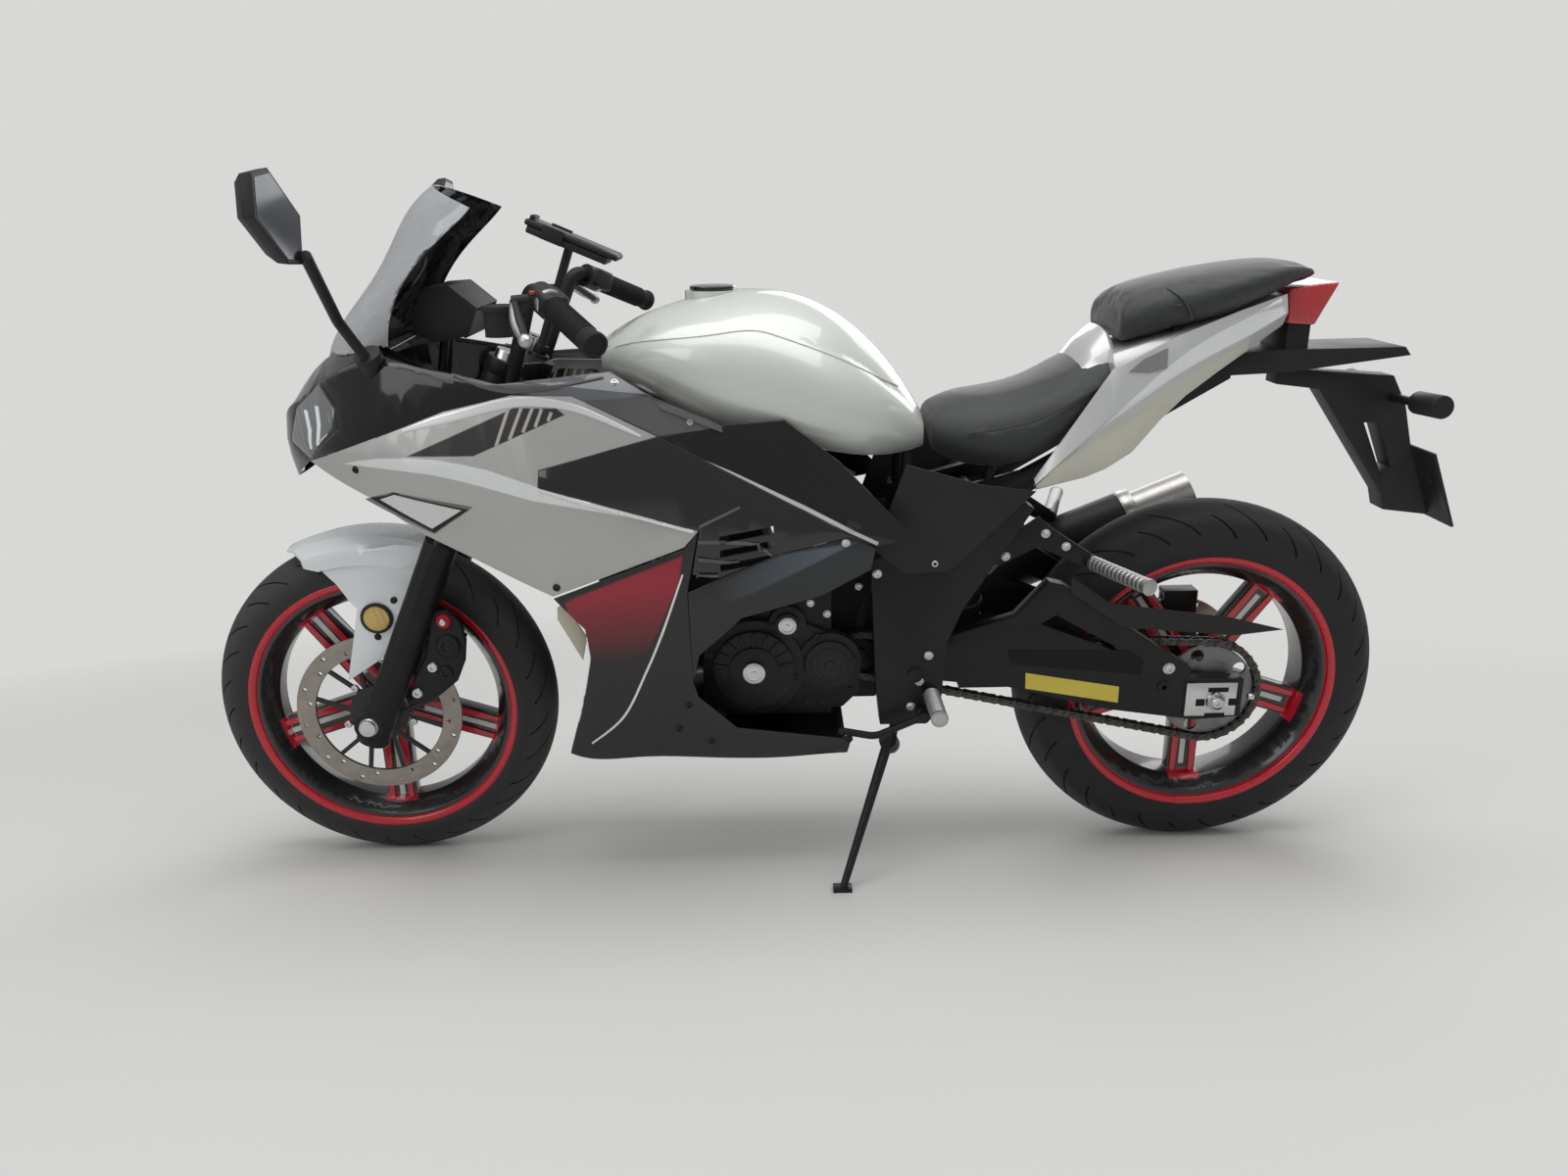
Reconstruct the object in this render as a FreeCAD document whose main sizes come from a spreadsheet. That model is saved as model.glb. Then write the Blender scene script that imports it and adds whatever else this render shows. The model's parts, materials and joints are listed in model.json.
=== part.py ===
"""Sport bike, leaning on its side stand, as an assembly of separate pieces.

Every piece is drawn in the upright bike's own frame and then leaned over as a whole:
X runs rearward from the front axle, Y to the rider's right, Z up from the ground line.
All lengths are millimetres and all angles degrees.
"""
import FreeCAD
import Part
import math
import os

from FreeCAD import Placement, Rotation, Vector

DOC = FreeCAD.newDocument("SportBike")

# Driving sizes: name, value, what it measures.
SIZES = (
    ("wheelbase", 1414, "front axle to rear axle"),
    ("lean_angle", 12.09, "lean to the left on the side stand"),
    ("origin_x", 747, "bike x of the middle of the overall length"),
    ("origin_y", -233.2, "leaned y of the middle of the overall width"),
    ("rim_radius", 230, "outer radius of the rim flange, 17 inch"),
    ("rim_flange", 12, "height of the rim flange over the bead seat"),
    ("rim_wall", 6, "wall of the rim barrel"),
    ("rim_drop", 34, "depth of the drop centre below the flange"),
    ("hub_radius", 34, "outer radius of the wheel hub"),
    ("axle_radius", 9, "wheel axle radius"),
    ("spoke_width", 15, "width of one raised rib of a spoke at the hub"),
    ("spoke_gap", 13, "gap between the two ribs of a spoke"),
    ("spoke_edge", 5, "spoke web beyond its ribs"),
    ("spoke_depth", 34, "depth of the ribs along the axle"),
    ("spoke_web", 24, "depth of the spoke web along the axle"),
    ("front_wall", 63, "front tyre height over the rim flange"),
    ("front_section", 52, "front tyre section radius"),
    ("front_rim_half", 45, "half width of the front rim"),
    ("rear_wall", 84, "rear tyre height over the rim flange"),
    ("rear_section", 68, "rear tyre section radius"),
    ("rear_rim_half", 58, "half width of the rear rim"),
    ("bead_gap", 0.3, "tyre bead to rim"),
    ("running_gap", 0.5, "clearance of a turning fit"),
    ("front_hub_half", 62, "half width of the front hub"),
    ("rear_hub_half", 72, "half width of the rear hub"),
    ("front_disc_radius", 140, "front brake disc outer radius"),
    ("front_disc_inner", 108, "front brake disc inner radius"),
    ("front_disc_y", -70, "front disc middle, left of the wheel"),
    ("rear_disc_radius", 110, "rear brake disc outer radius"),
    ("rear_disc_inner", 80, "rear brake disc inner radius"),
    ("rear_disc_y", 82, "rear disc middle, right of the wheel"),
    ("disc_thick", 5, "brake disc thickness"),
    ("carrier_radius", 50, "disc carrier hub radius"),
    ("disc_hole", 3.5, "radius of a cooling hole in a disc"),
    ("fender_plate_y", 81.5, "outer face of the fender's side plates"),
    ("rake", 24, "steering axis from vertical"),
    ("axle_lead", 9, "axle ahead of the fork leg line"),
    ("fork_offset", 30, "fork leg line ahead of the steering axis"),
    ("fork_spread", 104, "fork leg from the middle plane"),
    ("stanchion_radius", 18.5, "fork inner tube radius"),
    ("slider_radius", 27, "fork outer leg radius"),
    ("slider_top", 345, "top of the fork outer leg, along the leg from the axle"),
    ("fork_top", 675, "top of the fork tube, along the leg from the axle"),
    ("lower_yoke", 470, "lower yoke, along the leg from the axle"),
    ("upper_yoke", 650, "upper yoke, along the leg from the axle"),
    ("yoke_thick", 24, "yoke plate thickness"),
    ("steering_range", 27, "steering angle to each stop"),
    ("stem_radius", 17, "steering stem radius"),
    ("stem_bore", 8, "radius of the bore up the stem"),
    ("stem_bore_depth", 60, "depth of the bore up the stem"),
    ("head_radius", 28, "frame head tube radius"),
    ("bar_radius", 11, "handlebar tube radius"),
    ("bar_clamp", 40, "height of a handlebar clamp"),
    ("grip_radius", 16.5, "rubber grip radius"),
    ("skin", 3, "wall of the painted panels"),
    ("panel_gap", 0.3, "half of the gap between two panels"),
    ("seat_gap", 0.3, "piece to what carries it"),
    ("swingarm_half", 124, "swingarm outer face from the middle plane"),
    ("swingarm_wall", 26, "width of one swingarm beam"),
    ("pivot_x", 905, "swingarm pivot, rearward"),
    ("pivot_z", 388, "swingarm pivot, up"),
    ("chain_y", -84, "chain line from the middle plane"),
    ("chain_width", 17, "chain over its plates"),
    ("chain_height", 15, "height of a chain link plate"),
    ("rear_sprocket", 88, "chain line radius at the rear sprocket"),
    ("front_sprocket", 36, "chain line radius at the gearbox sprocket"),
    ("sprocket_thick", 6, "rear sprocket thickness"),
    ("gearbox_x", 822, "gearbox sprocket, rearward"),
    ("gearbox_z", 392, "gearbox sprocket, up"),
    ("chain_gap", 0.5, "sprocket tip under the chain"),
    ("cylinder_tilt", 20, "forward tilt of the cylinder"),
    ("case_half", 126, "crankcase side from the middle plane"),
    ("header_run", 286, "height of the exhaust pipe's run under the engine"),
    ("stand_eye", 9, "half width of the side stand's eye"),
    ("foot_length", 30, "length of the side stand's foot"),
    ("foot_width", 26, "width of the side stand's foot"),
    ("stand_pin", 6, "side stand bolt radius"),
    ("stand_x", 866, "side stand pivot, rearward"),
    ("stand_y", -150, "side stand pivot, left"),
    ("stand_z", 262, "side stand pivot, up"),
    ("foot_x", 782, "side stand foot, rearward"),
    ("foot_y", -284, "side stand foot, leaned y"),
    ("boss_radius", 11, "paddock stand boss radius"),
    ("boss_thread", 4, "radius of the paddock stand thread"),
    ("boss_depth", 16, "depth of the paddock stand thread"),
    ("plate_hole", 3.5, "radius of a number plate hole"),
    ("plate_pitch", 62.5, "half the pitch of the number plate holes"),
)


def make_sheet():
    """Write the driving sizes to the spreadsheet, one alias each."""
    sheet = DOC.addObject("Spreadsheet::Sheet", "Sizes")
    for row, (name, value, meaning) in enumerate(SIZES, start=1):
        sheet.set(f"A{row}", name)
        sheet.set(f"B{row}", str(value))
        sheet.set(f"C{row}", meaning)
        sheet.setAlias(f"B{row}", name)
    DOC.recompute()
    return sheet


SHEET = make_sheet()


def size(name):
    """One driving size as a number."""
    return float(SHEET.get(name))


LEAN = math.radians(size("lean_angle"))
RAKE = math.radians(size("rake"))


def tyre_radius(end):
    """Outer radius of the front or rear tyre."""
    return size("rim_radius") + size(f"{end}_wall")


def axle_height(end):
    """Height of an axle over the ground line when the leaned tyre touches the ground."""
    section = size(f"{end}_section")
    return tyre_radius(end) - section + section / math.cos(LEAN)


FRONT_Z = axle_height("front")
REAR_Z = axle_height("rear")
WHEELBASE = size("wheelbase")
LEANED = Placement(
    Vector(-size("origin_x"), -size("origin_y"), 0),
    Rotation(Vector(1, 0, 0), size("lean_angle")),
)
FRONT_AXLE = Vector(0, 0, FRONT_Z)
REAR_AXLE = Vector(WHEELBASE, 0, REAR_Z)
FORK_UP = Vector(math.sin(RAKE), 0, math.cos(RAKE))
FORK_BACK = Vector(math.cos(RAKE), 0, -math.sin(RAKE))
ACROSS = Vector(0, 1, 0)
MITRE_LIMIT = 0.3
LEFT, RIGHT = -1, 1
NODES = []
UPRIGHT = {}


def fork_point(along, back=0.0, side=0.0):
    """A point on the fork: along the legs from the axle, back from their line, and sideways."""
    start = FRONT_AXLE + FORK_BACK * (size("axle_lead") + back)
    return start + FORK_UP * along + Vector(0, side, 0)


def ground_point(x, y, z):
    """The bike-frame place of a point given on the leaned bike's ground."""
    return Vector(x, y * math.cos(LEAN) + z * math.sin(LEAN), z * math.cos(LEAN) - y * math.sin(LEAN))


def node(name, shape):
    """Keep a finished shape as one named piece of the leaned bike."""
    piece = DOC.addObject("Part::Feature", name)
    piece.Shape = shape
    piece.Placement = LEANED.multiply(shape.Placement)
    piece.Label = name
    NODES.append(piece)
    UPRIGHT[name] = shape
    return piece


def keep(body, name, place):
    """Lean a modelled body into its place and keep it as a node."""
    body.Placement = LEANED.multiply(place)
    body.Label = name
    NODES.append(body)
    return body


# Sketch and body helpers.
def origin_plane(body, role):
    """One of a body's own origin planes."""
    return next(item for item in body.Origin.OriginFeatures if item.Role == role)


def value_of(text):
    """Work out a size expression as a number, for the sketch's first drawing."""
    words = {name: size(name) for name, _, _ in SIZES}
    total = text
    for name in sorted(words, key=len, reverse=True):
        total = total.replace("Sizes." + name, repr(words[name]))
    return float(FreeCAD.Units.Quantity(total).Value)


def sketch_loop(sketch, corners):
    """Draw a closed loop whose corners are pairs of size expressions, all constrained."""
    import Sketcher

    first = sketch.GeometryCount
    places = [Vector(value_of(x), value_of(y), 0) for x, y in corners]
    count = len(corners)
    for index in range(count):
        sketch.addGeometry(Part.LineSegment(places[index], places[(index + 1) % count]), False)
    for index in range(count):
        here, after = first + index, first + (index + 1) % count
        sketch.addConstraint(Sketcher.Constraint("Coincident", here, 2, after, 1))
    for index, (x, y) in enumerate(corners):
        for kind, text, amount in (("DistanceX", x, places[index].x), ("DistanceY", y, places[index].y)):
            row = sketch.addConstraint(Sketcher.Constraint(kind, first + index, 1, amount))
            sketch.setExpression(f"Constraints[{row}]", text)


def body_sketch(body, role, name):
    """A new sketch on one of the body's origin planes."""
    sketch = body.newObject("Sketcher::SketchObject", name)
    sketch.AttachmentSupport = [(origin_plane(body, role), "")]
    sketch.MapMode = "FlatFace"
    return sketch


def revolved(body, name, corners):
    """A full turn of a closed loop about the body's own axle."""
    sketch = body_sketch(body, "XY_Plane", name + "Profile")
    sketch_loop(sketch, corners)
    turn = body.newObject("PartDesign::Revolution", name)
    turn.Profile = sketch
    turn.ReferenceAxis = (sketch, ["V_Axis"])
    turn.Angle = 360
    DOC.recompute()
    return turn


def padded(body, name, corners, depth):
    """A pad of a closed loop, the same both sides of the wheel plane."""
    sketch = body_sketch(body, "XZ_Plane", name + "Profile")
    sketch_loop(sketch, corners)
    pad = body.newObject("PartDesign::Pad", name)
    pad.Profile = sketch
    pad.Midplane = True
    pad.setExpression("Length", depth)
    DOC.recompute()
    return pad


def around_axle(body, features, name, count):
    """Repeat features evenly round the axle."""
    pattern = body.newObject("PartDesign::PolarPattern", name)
    pattern.Originals = features
    pattern.Axis = (next(i for i in body.Origin.OriginFeatures if i.Role == "Y_Axis"), [""])
    pattern.Angle = 360
    pattern.Occurrences = count
    body.Tip = pattern
    DOC.recompute()
    return pattern


# Solid helpers.
def at(x, y, z):
    """A point of the bike frame."""
    return Vector(x, y, z)


def prism(outline, y_from, y_to):
    """A side-view outline of (x, z) corners carried from one y to another."""
    corners = [Vector(x, y_from, z) for x, z in outline]
    face = Part.Face(Part.makePolygon(corners + corners[:1]))
    return face.extrude(Vector(0, y_to - y_from, 0))


def rod(start, end, radius):
    """A round bar between two points."""
    return Part.makeCylinder(radius, (end - start).Length, start, end - start)


def barrel(x, y, z, radius, length):
    """A round piece lying across the bike, its middle at the point."""
    return Part.makeCylinder(radius, length, Vector(x, y - length / 2, z), Vector(0, 1, 0))


def bent_tube(points, radius, bend):
    """A round tube along straight runs joined by tangent arcs."""
    edges = []
    start = points[0]
    for before, corner, after in zip(points, points[1:], points[2:]):
        inward = (before - corner).normalize()
        onward = (after - corner).normalize()
        half = inward.getAngle(onward) / 2
        reach = bend / math.tan(half)
        first = corner + inward * reach
        last = corner + onward * reach
        middle = corner + (inward + onward).normalize() * (bend / math.sin(half) - bend)
        edges += [Part.makeLine(start, first), Part.Arc(first, middle, last).toShape()]
        start = last
    edges.append(Part.makeLine(start, points[-1]))
    ring = Part.Wire(Part.makeCircle(radius, points[0], points[1] - points[0]))
    return Part.Wire(edges).makePipeShell([ring], True, False)


def peg(start, end, radius, target):
    """A round peg from start toward end, stopping a hair short of the piece it carries."""
    along = (end - start).normalize()
    first = along.cross(Vector(0.3, 0.5, 0.8)).normalize()
    second = along.cross(first)
    rim = [Vector(0, 0, 0)]
    for eighth in range(8):
        turn = math.pi * eighth / 4
        rim.append((first * math.cos(turn) + second * math.sin(turn)) * radius)
    reaches = []
    for offset in rim:
        ray = Part.makeLine(start + offset, end + offset)
        reaches += [(spot.Point - start - offset).Length for spot in ray.common(UPRIGHT[target]).Vertexes]
    return rod(start, start + along * (min(reaches) - size("seat_gap")), radius)


def fused(shapes):
    """One solid out of shapes that meet."""
    whole = shapes[0].fuse(shapes[1:])
    return whole.removeSplitter()


def mirrored(shape):
    """The same piece on the other side of the bike."""
    return shape.mirror(Vector(0, 0, 0), Vector(0, 1, 0))


def both_sides(shape):
    """The piece and its mirror image, as two solids of one node."""
    return Part.makeCompound([shape, mirrored(shape)])


def lofted(wires, ruled=True):
    """A solid through closed section wires."""
    return Part.makeLoft(wires, True, ruled)


# The body form: the skin that all the painted panels are cut from.
# Columns: x, then crown, shoulder, waist, tuck and keel as half width and height.
FORM = (
    (-100, (12, 800), (30, 795), (38, 765), (32, 738), (14, 700)),
    (-60, (40, 850), (75, 830), (92, 775), (85, 735), (50, 640)),
    (10, (75, 905), (120, 870), (150, 770), (145, 700), (100, 560)),
    (110, (125, 918), (165, 895), (200, 760), (195, 660), (150, 470)),
    (240, (150, 905), (195, 872), (228, 740), (222, 620), (185, 370)),
    (350, (150, 895), (198, 868), (243, 700), (235, 540), (195, 270)),
    (455, (150, 888), (197, 857), (247, 682), (237, 508), (193, 262)),
    (560, (150, 880), (195, 845), (248, 665), (238, 480), (190, 258)),
    (700, (144, 840), (185, 808), (243, 655), (232, 498), (188, 255)),
    (840, (130, 780), (170, 750), (232, 640), (222, 520), (185, 256)),
    (900, (120, 740), (160, 710), (222, 630), (215, 520), (180, 262)),
)


def form_solid(inset):
    """The left half of the body form, its walls moved inward by inset."""
    drops = (-1, -1, 0, 0, 1)
    wires = []
    for row in FORM:
        x, corners = row[0], row[1:]
        inner = [Vector(x, -(y - inset), z + drop * inset) for (y, z), drop in zip(corners, drops)]
        ends = [Vector(x, 0, inner[-1].z), Vector(x, 0, inner[0].z)]
        loop = inner + ends
        wires.append(Part.makePolygon(loop + loop[:1]))
    return lofted(wires, ruled=False)


SKIN = form_solid(0.0).cut(form_solid(size("skin")))


def panel(outline, holes=()):
    """A left panel: the skin inside one side-view outline, less its holes."""
    piece = SKIN.common(prism(outline, -300, 1))
    for hole in holes:
        piece = piece.cut(prism(hole, -300, 1))
    return piece


def shrunk(outline, gap):
    """The outline moved inward by the gap, so that neighbouring panels stay apart."""
    corners = [Vector(x, z, 0) for x, z in outline]
    rings = list(zip(corners[-1:] + corners[:-1], corners, corners[1:] + corners[:1]))
    area = sum(before.cross(here).z for before, here, _ in rings)
    inward = Vector(0, 0, math.copysign(1, area))
    moved = []
    for before, here, after in rings:
        first = inward.cross(here - before).normalize()
        second = inward.cross(after - here).normalize()
        mitre = max(1 + first.dot(second), MITRE_LIMIT)
        spot = here + (first + second) * (gap / mitre)
        moved.append((spot.x, spot.y))
    return moved


# Side-view outlines of the panels, corners as (x, z).
SILVER = [(-43, 742), (199, 832), (301, 855), (389, 852), (513, 793), (338, 749), (336, 724),
          (570, 658), (547, 632), (345, 555), (157, 646), (72, 699)]
SIGNAL = [(60, 697), (110, 712), (235, 694), (170, 650)]
UPPER = [(-43, 742), (24, 797), (24, 832), (-8, 866), (84, 911), (280, 870), (441, 881), (505, 849),
         (604, 806), (699, 809), (781, 746), (891, 636), (836, 624), (513, 793), (389, 852),
         (301, 855), (199, 832)]
SCOOP = [(338, 749), (513, 793), (836, 624), (794, 641), (683, 617), (599, 583), (557, 589), (570, 658),
         (336, 724)]
LOUVRES = (600, 622, 644)
SWEEP = [(599, 583), (683, 617), (794, 641), (834, 622), (827, 587), (753, 548), (630, 516),
         (563, 454), (551, 405), (549, 560)]
BELLY = [(345, 552), (547, 630), (568, 655), (549, 560), (551, 405), (558, 377), (617, 316), (802, 286),
         (790, 240), (336, 240), (348, 284), (373, 365), (392, 450), (389, 500)]
NOSE = [(-110, 690), (-43, 742), (24, 797), (24, 832), (-8, 866), (84, 911), (60, 930), (-110, 930)]
HEADLIGHT = [(-81, 767), (-63, 821), (-11, 861), (20, 827), (14, 800), (-41, 745)]


def wheels():
    """Tyres and cast rims of both wheels."""
    for name, axle in (("front", FRONT_AXLE), ("rear", REAR_AXLE)):
        section = size(f"{name}_section")
        radius = tyre_radius(name)
        edge = size("rim_radius") + size("bead_gap")
        half = size(f"{name}_rim_half") - size("rim_wall") / 2 - size("bead_gap")
        seat = size("rim_radius") - size("rim_flange") + size("bead_gap")
        bulge = math.sqrt(section ** 2 - (edge - (radius - section)) ** 2)
        wall = Part.makePolygon([Vector(edge, bulge, 0), Vector(edge, half, 0), Vector(seat, half, 0),
                                 Vector(seat, -half, 0), Vector(edge, -half, 0), Vector(edge, -bulge, 0)])
        crown = Part.Arc(Vector(edge, -bulge, 0), Vector(radius, 0, 0), Vector(edge, bulge, 0)).toShape()
        ring = Part.Face(Part.Wire(wall.Edges + [crown]))
        tyre = ring.revolve(Vector(0, 0, 0), Vector(0, 1, 0), 360)
        tyre.translate(axle)
        node(f"{name}_tyre", tyre)

        body = DOC.addObject("PartDesign::Body", f"{name.capitalize()}Rim")
        half_rim = f"Sizes.{name}_rim_half"
        well = "Sizes.rim_radius - Sizes.rim_drop"
        bead = "Sizes.rim_radius - Sizes.rim_flange"
        revolved(body, "Barrel", [
            ("Sizes.rim_radius", f"-{half_rim}"),
            ("Sizes.rim_radius", f"-{half_rim} + Sizes.rim_wall / 2"),
            (bead, f"-{half_rim} + Sizes.rim_wall / 2"),
            (bead, f"-{half_rim} + Sizes.rim_wall * 3"),
            (well, f"-{half_rim} + Sizes.rim_wall * 5"),
            (well, f"{half_rim} - Sizes.rim_wall * 5"),
            (bead, f"{half_rim} - Sizes.rim_wall * 3"),
            (bead, f"{half_rim} - Sizes.rim_wall / 2"),
            ("Sizes.rim_radius", f"{half_rim} - Sizes.rim_wall / 2"),
            ("Sizes.rim_radius", half_rim),
            (f"{bead} - Sizes.rim_wall", half_rim),
            (f"{well} - Sizes.rim_wall", f"{half_rim} - Sizes.rim_wall * 5"),
            (f"{well} - Sizes.rim_wall", f"-{half_rim} + Sizes.rim_wall * 5"),
            (f"{bead} - Sizes.rim_wall", f"-{half_rim}"),
        ])
        hub_half = f"Sizes.{name}_hub_half"
        hub_bore = "Sizes.axle_radius + Sizes.running_gap"
        web = "(Sizes.spoke_gap / 2 + Sizes.spoke_width + Sizes.spoke_edge)"
        root, reach = "Sizes.hub_radius / 2", f"{well} - Sizes.rim_wall / 2"
        spokes = [padded(body, "SpokeWeb", [
            (f"-{web}", root), (web, root), (f"{web} * 0.95", reach), (f"-{web} * 0.95", reach),
        ], "Sizes.spoke_web")]
        for number, side in enumerate(("-", "")):
            spokes.append(padded(body, f"SpokeRib{number}", [
                (f"{side}Sizes.spoke_gap / 2", root),
                (f"{side}(Sizes.spoke_gap / 2 + Sizes.spoke_width)", root),
                (f"{side}(Sizes.spoke_gap / 2 + Sizes.spoke_width)", reach),
                (f"{side}(Sizes.spoke_gap / 2 + Sizes.spoke_width * 0.4)", reach),
            ], "Sizes.spoke_depth"))
        around_axle(body, spokes, "Spokes", 5)
        revolved(body, "Hub", [
            (hub_bore, f"-{hub_half}"),
            ("Sizes.hub_radius", f"-{hub_half}"),
            ("Sizes.hub_radius", hub_half),
            (hub_bore, hub_half),
        ])
        bore = body_sketch(body, "XY_Plane", "BoreProfile")
        sketch_loop(bore, [("0", f"-{hub_half}"), (hub_bore, f"-{hub_half}"), (hub_bore, hub_half),
                           ("0", hub_half)])
        groove = body.newObject("PartDesign::Groove", "Bore")
        groove.Profile = bore
        groove.ReferenceAxis = (bore, ["V_Axis"])
        groove.Angle = 360
        body.Tip = groove
        DOC.recompute()
        keep(body, f"{name}_rim", Placement(axle, Rotation(ACROSS, 180)))


def discs_and_sprocket():
    """Brake discs on their carriers and the rear sprocket."""
    thick = size("disc_thick")
    bore_radius = size("axle_radius") + size("running_gap")
    for name, axle in (("front", FRONT_AXLE), ("rear", REAR_AXLE)):
        outer = size(f"{name}_disc_radius")
        inner = size(f"{name}_disc_inner")
        y = size(f"{name}_disc_y")
        side = math.copysign(1, y)
        hub_face = side * size(f"{name}_hub_half")
        near = at(axle.x, y - thick / 2, axle.z)
        ring = Part.makeCylinder(outer, thick, near, ACROSS)
        ring = ring.cut(Part.makeCylinder(inner, thick, near, ACROSS))
        depth = abs(y - hub_face) + thick / 2
        foot = at(axle.x, hub_face, axle.z)
        plate = Part.makeCylinder(size("carrier_radius"), depth, foot, ACROSS * side)
        arms, holes = [], [barrel(axle.x, 0, axle.z, bore_radius, 400)]
        for turn in range(6):
            for lean in (-1, 1):
                arm = Part.makeBox(inner + 4 - size("carrier_radius") / 2, thick, 7,
                                   Vector(size("carrier_radius") / 2, 0, -3.5))
                arm.rotate(Vector(size("carrier_radius"), 0, 0), ACROSS, 14 * lean)
                arm.rotate(Vector(0, 0, 0), ACROSS, 60 * turn + 7 * lean)
                arm.translate(near)
                arms.append(arm)
        for share, count in ((0.3, 12), (0.68, 12)):
            for turn in range(count):
                hole = Part.makeCylinder(size("disc_hole"), 3 * thick,
                                         Vector(inner + share * (outer - inner), -thick, 0), ACROSS)
                hole.rotate(Vector(0, 0, 0), ACROSS, 360 / count * (turn + share))
                hole.translate(near)
                holes.append(hole)
        node(f"{name}_disc", fused([ring, plate] + arms).cut(holes))

    y = size("chain_y")
    sprocket_thick = size("sprocket_thick")
    tip = size("rear_sprocket") - size("chain_height") / 2 - size("chain_gap")
    wheel = barrel(WHEELBASE, y, REAR_Z, tip, sprocket_thick)
    hub_face = size("rear_hub_half")
    carrier = Part.makeCylinder(56, abs(y) - hub_face, at(WHEELBASE, -hub_face, REAR_Z), -ACROSS)
    windows = []
    for turn in range(5):
        window = Part.makeCylinder(11, 20, Vector(66, y - 10, 0), ACROSS)
        window.rotate(Vector(0, 0, 0), ACROSS, 72 * turn + 36)
        window.translate(REAR_AXLE)
        windows.append(window)
    bore = barrel(WHEELBASE, 0, REAR_Z, bore_radius, 400)
    node("rear_sprocket", fused([wheel, carrier]).cut([bore] + windows))


def chain_path(grow):
    """The chain line's closed outline, grown or shrunk, on the chain's left face."""
    front = at(size("gearbox_x"), 0, size("gearbox_z"))
    back = at(WHEELBASE, 0, REAR_Z)
    span = back - front
    small, large = size("front_sprocket") + grow, size("rear_sprocket") + grow
    tilt = math.asin((large - small) / span.Length)
    base = math.atan2(span.z, span.x)
    up, down = base + math.pi / 2 + tilt, base - math.pi / 2 - tilt

    def spot(centre, radius, angle):
        """A point of a sprocket circle."""
        return centre + Vector(math.cos(angle), 0, math.sin(angle)) * radius

    far = base + math.pi
    rear_turn = Part.Arc(spot(back, large, up), spot(back, large, base), spot(back, large, down))
    front_turn = Part.Arc(spot(front, small, down), spot(front, small, far), spot(front, small, up))
    path = Part.Wire([
        Part.makeLine(spot(front, small, up), spot(back, large, up)), rear_turn.toShape(),
        Part.makeLine(spot(back, large, down), spot(front, small, down)), front_turn.toShape(),
    ])
    face = Part.Face(path)
    return face.extrude(ACROSS * size("chain_width"))


def chain():
    """The chain as one fixed loop round both sprockets."""
    half = size("chain_height") / 2
    loop = chain_path(half).cut(chain_path(-half))
    loop.translate(at(0, size("chain_y") - size("chain_width") / 2, 0))
    node("chain", loop)


def fork():
    """Fork legs, yokes, axle and the steering stem."""
    spread = size("fork_spread")
    leg_bottom = -34
    sliders, tubes = [], []
    for side in (LEFT, RIGHT):
        y = side * spread
        leg = rod(fork_point(leg_bottom, 0, y), fork_point(size("slider_top"), 0, y), size("slider_radius"))
        boss = barrel(0, y, FRONT_Z, 24, size("slider_radius") * 2)
        sliders.append(fused([leg, boss]).cut(barrel(0, 0, FRONT_Z, size("axle_radius"), 400)))
        tubes.append(rod(fork_point(size("slider_top"), 0, y), fork_point(size("fork_top"), 0, y),
                         size("stanchion_radius")))
    node("fork_sliders", Part.makeCompound(sliders))
    node("fork_tubes", Part.makeCompound(tubes))
    head = 8
    reach = spread + size("slider_radius")
    shaft = barrel(0, 0, FRONT_Z, size("axle_radius"), 2 * reach)
    heads = [barrel(0, side * (reach + head / 2), FRONT_Z, 14, head) for side in (LEFT, RIGHT)]
    node("front_axle", fused([shaft] + heads))

    offset = size("fork_offset")
    thick = size("yoke_thick")
    shapes, holes = [], []
    for along in (size("lower_yoke"), size("upper_yoke")):
        low, high = along - thick / 2, along + thick / 2
        for y, back in ((-spread, 0), (spread, 0), (0, offset)):
            shapes.append(rod(fork_point(low, back, y), fork_point(high, back, y), 28))
        corners = [fork_point(low, -14, -spread), fork_point(low, -14, spread), fork_point(low, 20, spread),
                   fork_point(low, offset + 20, 0), fork_point(low, 20, -spread)]
        shapes.append(Part.Face(Part.makePolygon(corners + corners[:1])).extrude(FORK_UP * thick))
        for side in (LEFT, RIGHT):
            holes.append(rod(fork_point(low - 4, 0, side * spread), fork_point(high + 4, 0, side * spread),
                             size("stanchion_radius")))
    foot = fork_point(size("lower_yoke") - thick / 2, offset)
    stem = rod(foot, fork_point(size("upper_yoke") + 20, offset), size("stem_radius"))
    bore = rod(foot, foot + FORK_UP * size("stem_bore_depth"), size("stem_bore"))
    node("yokes", fused(shapes + [stem]).cut(holes + [bore]))


# Ends of the grips, from the left bar mirrored to the right one.
GRIP_INNER = {side: (374, side * 240, 987) for side in (LEFT, RIGHT)}
GRIP_OUTER = {side: (447, side * 343, 943) for side in (LEFT, RIGHT)}
BAR_SETBACK = 26


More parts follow.
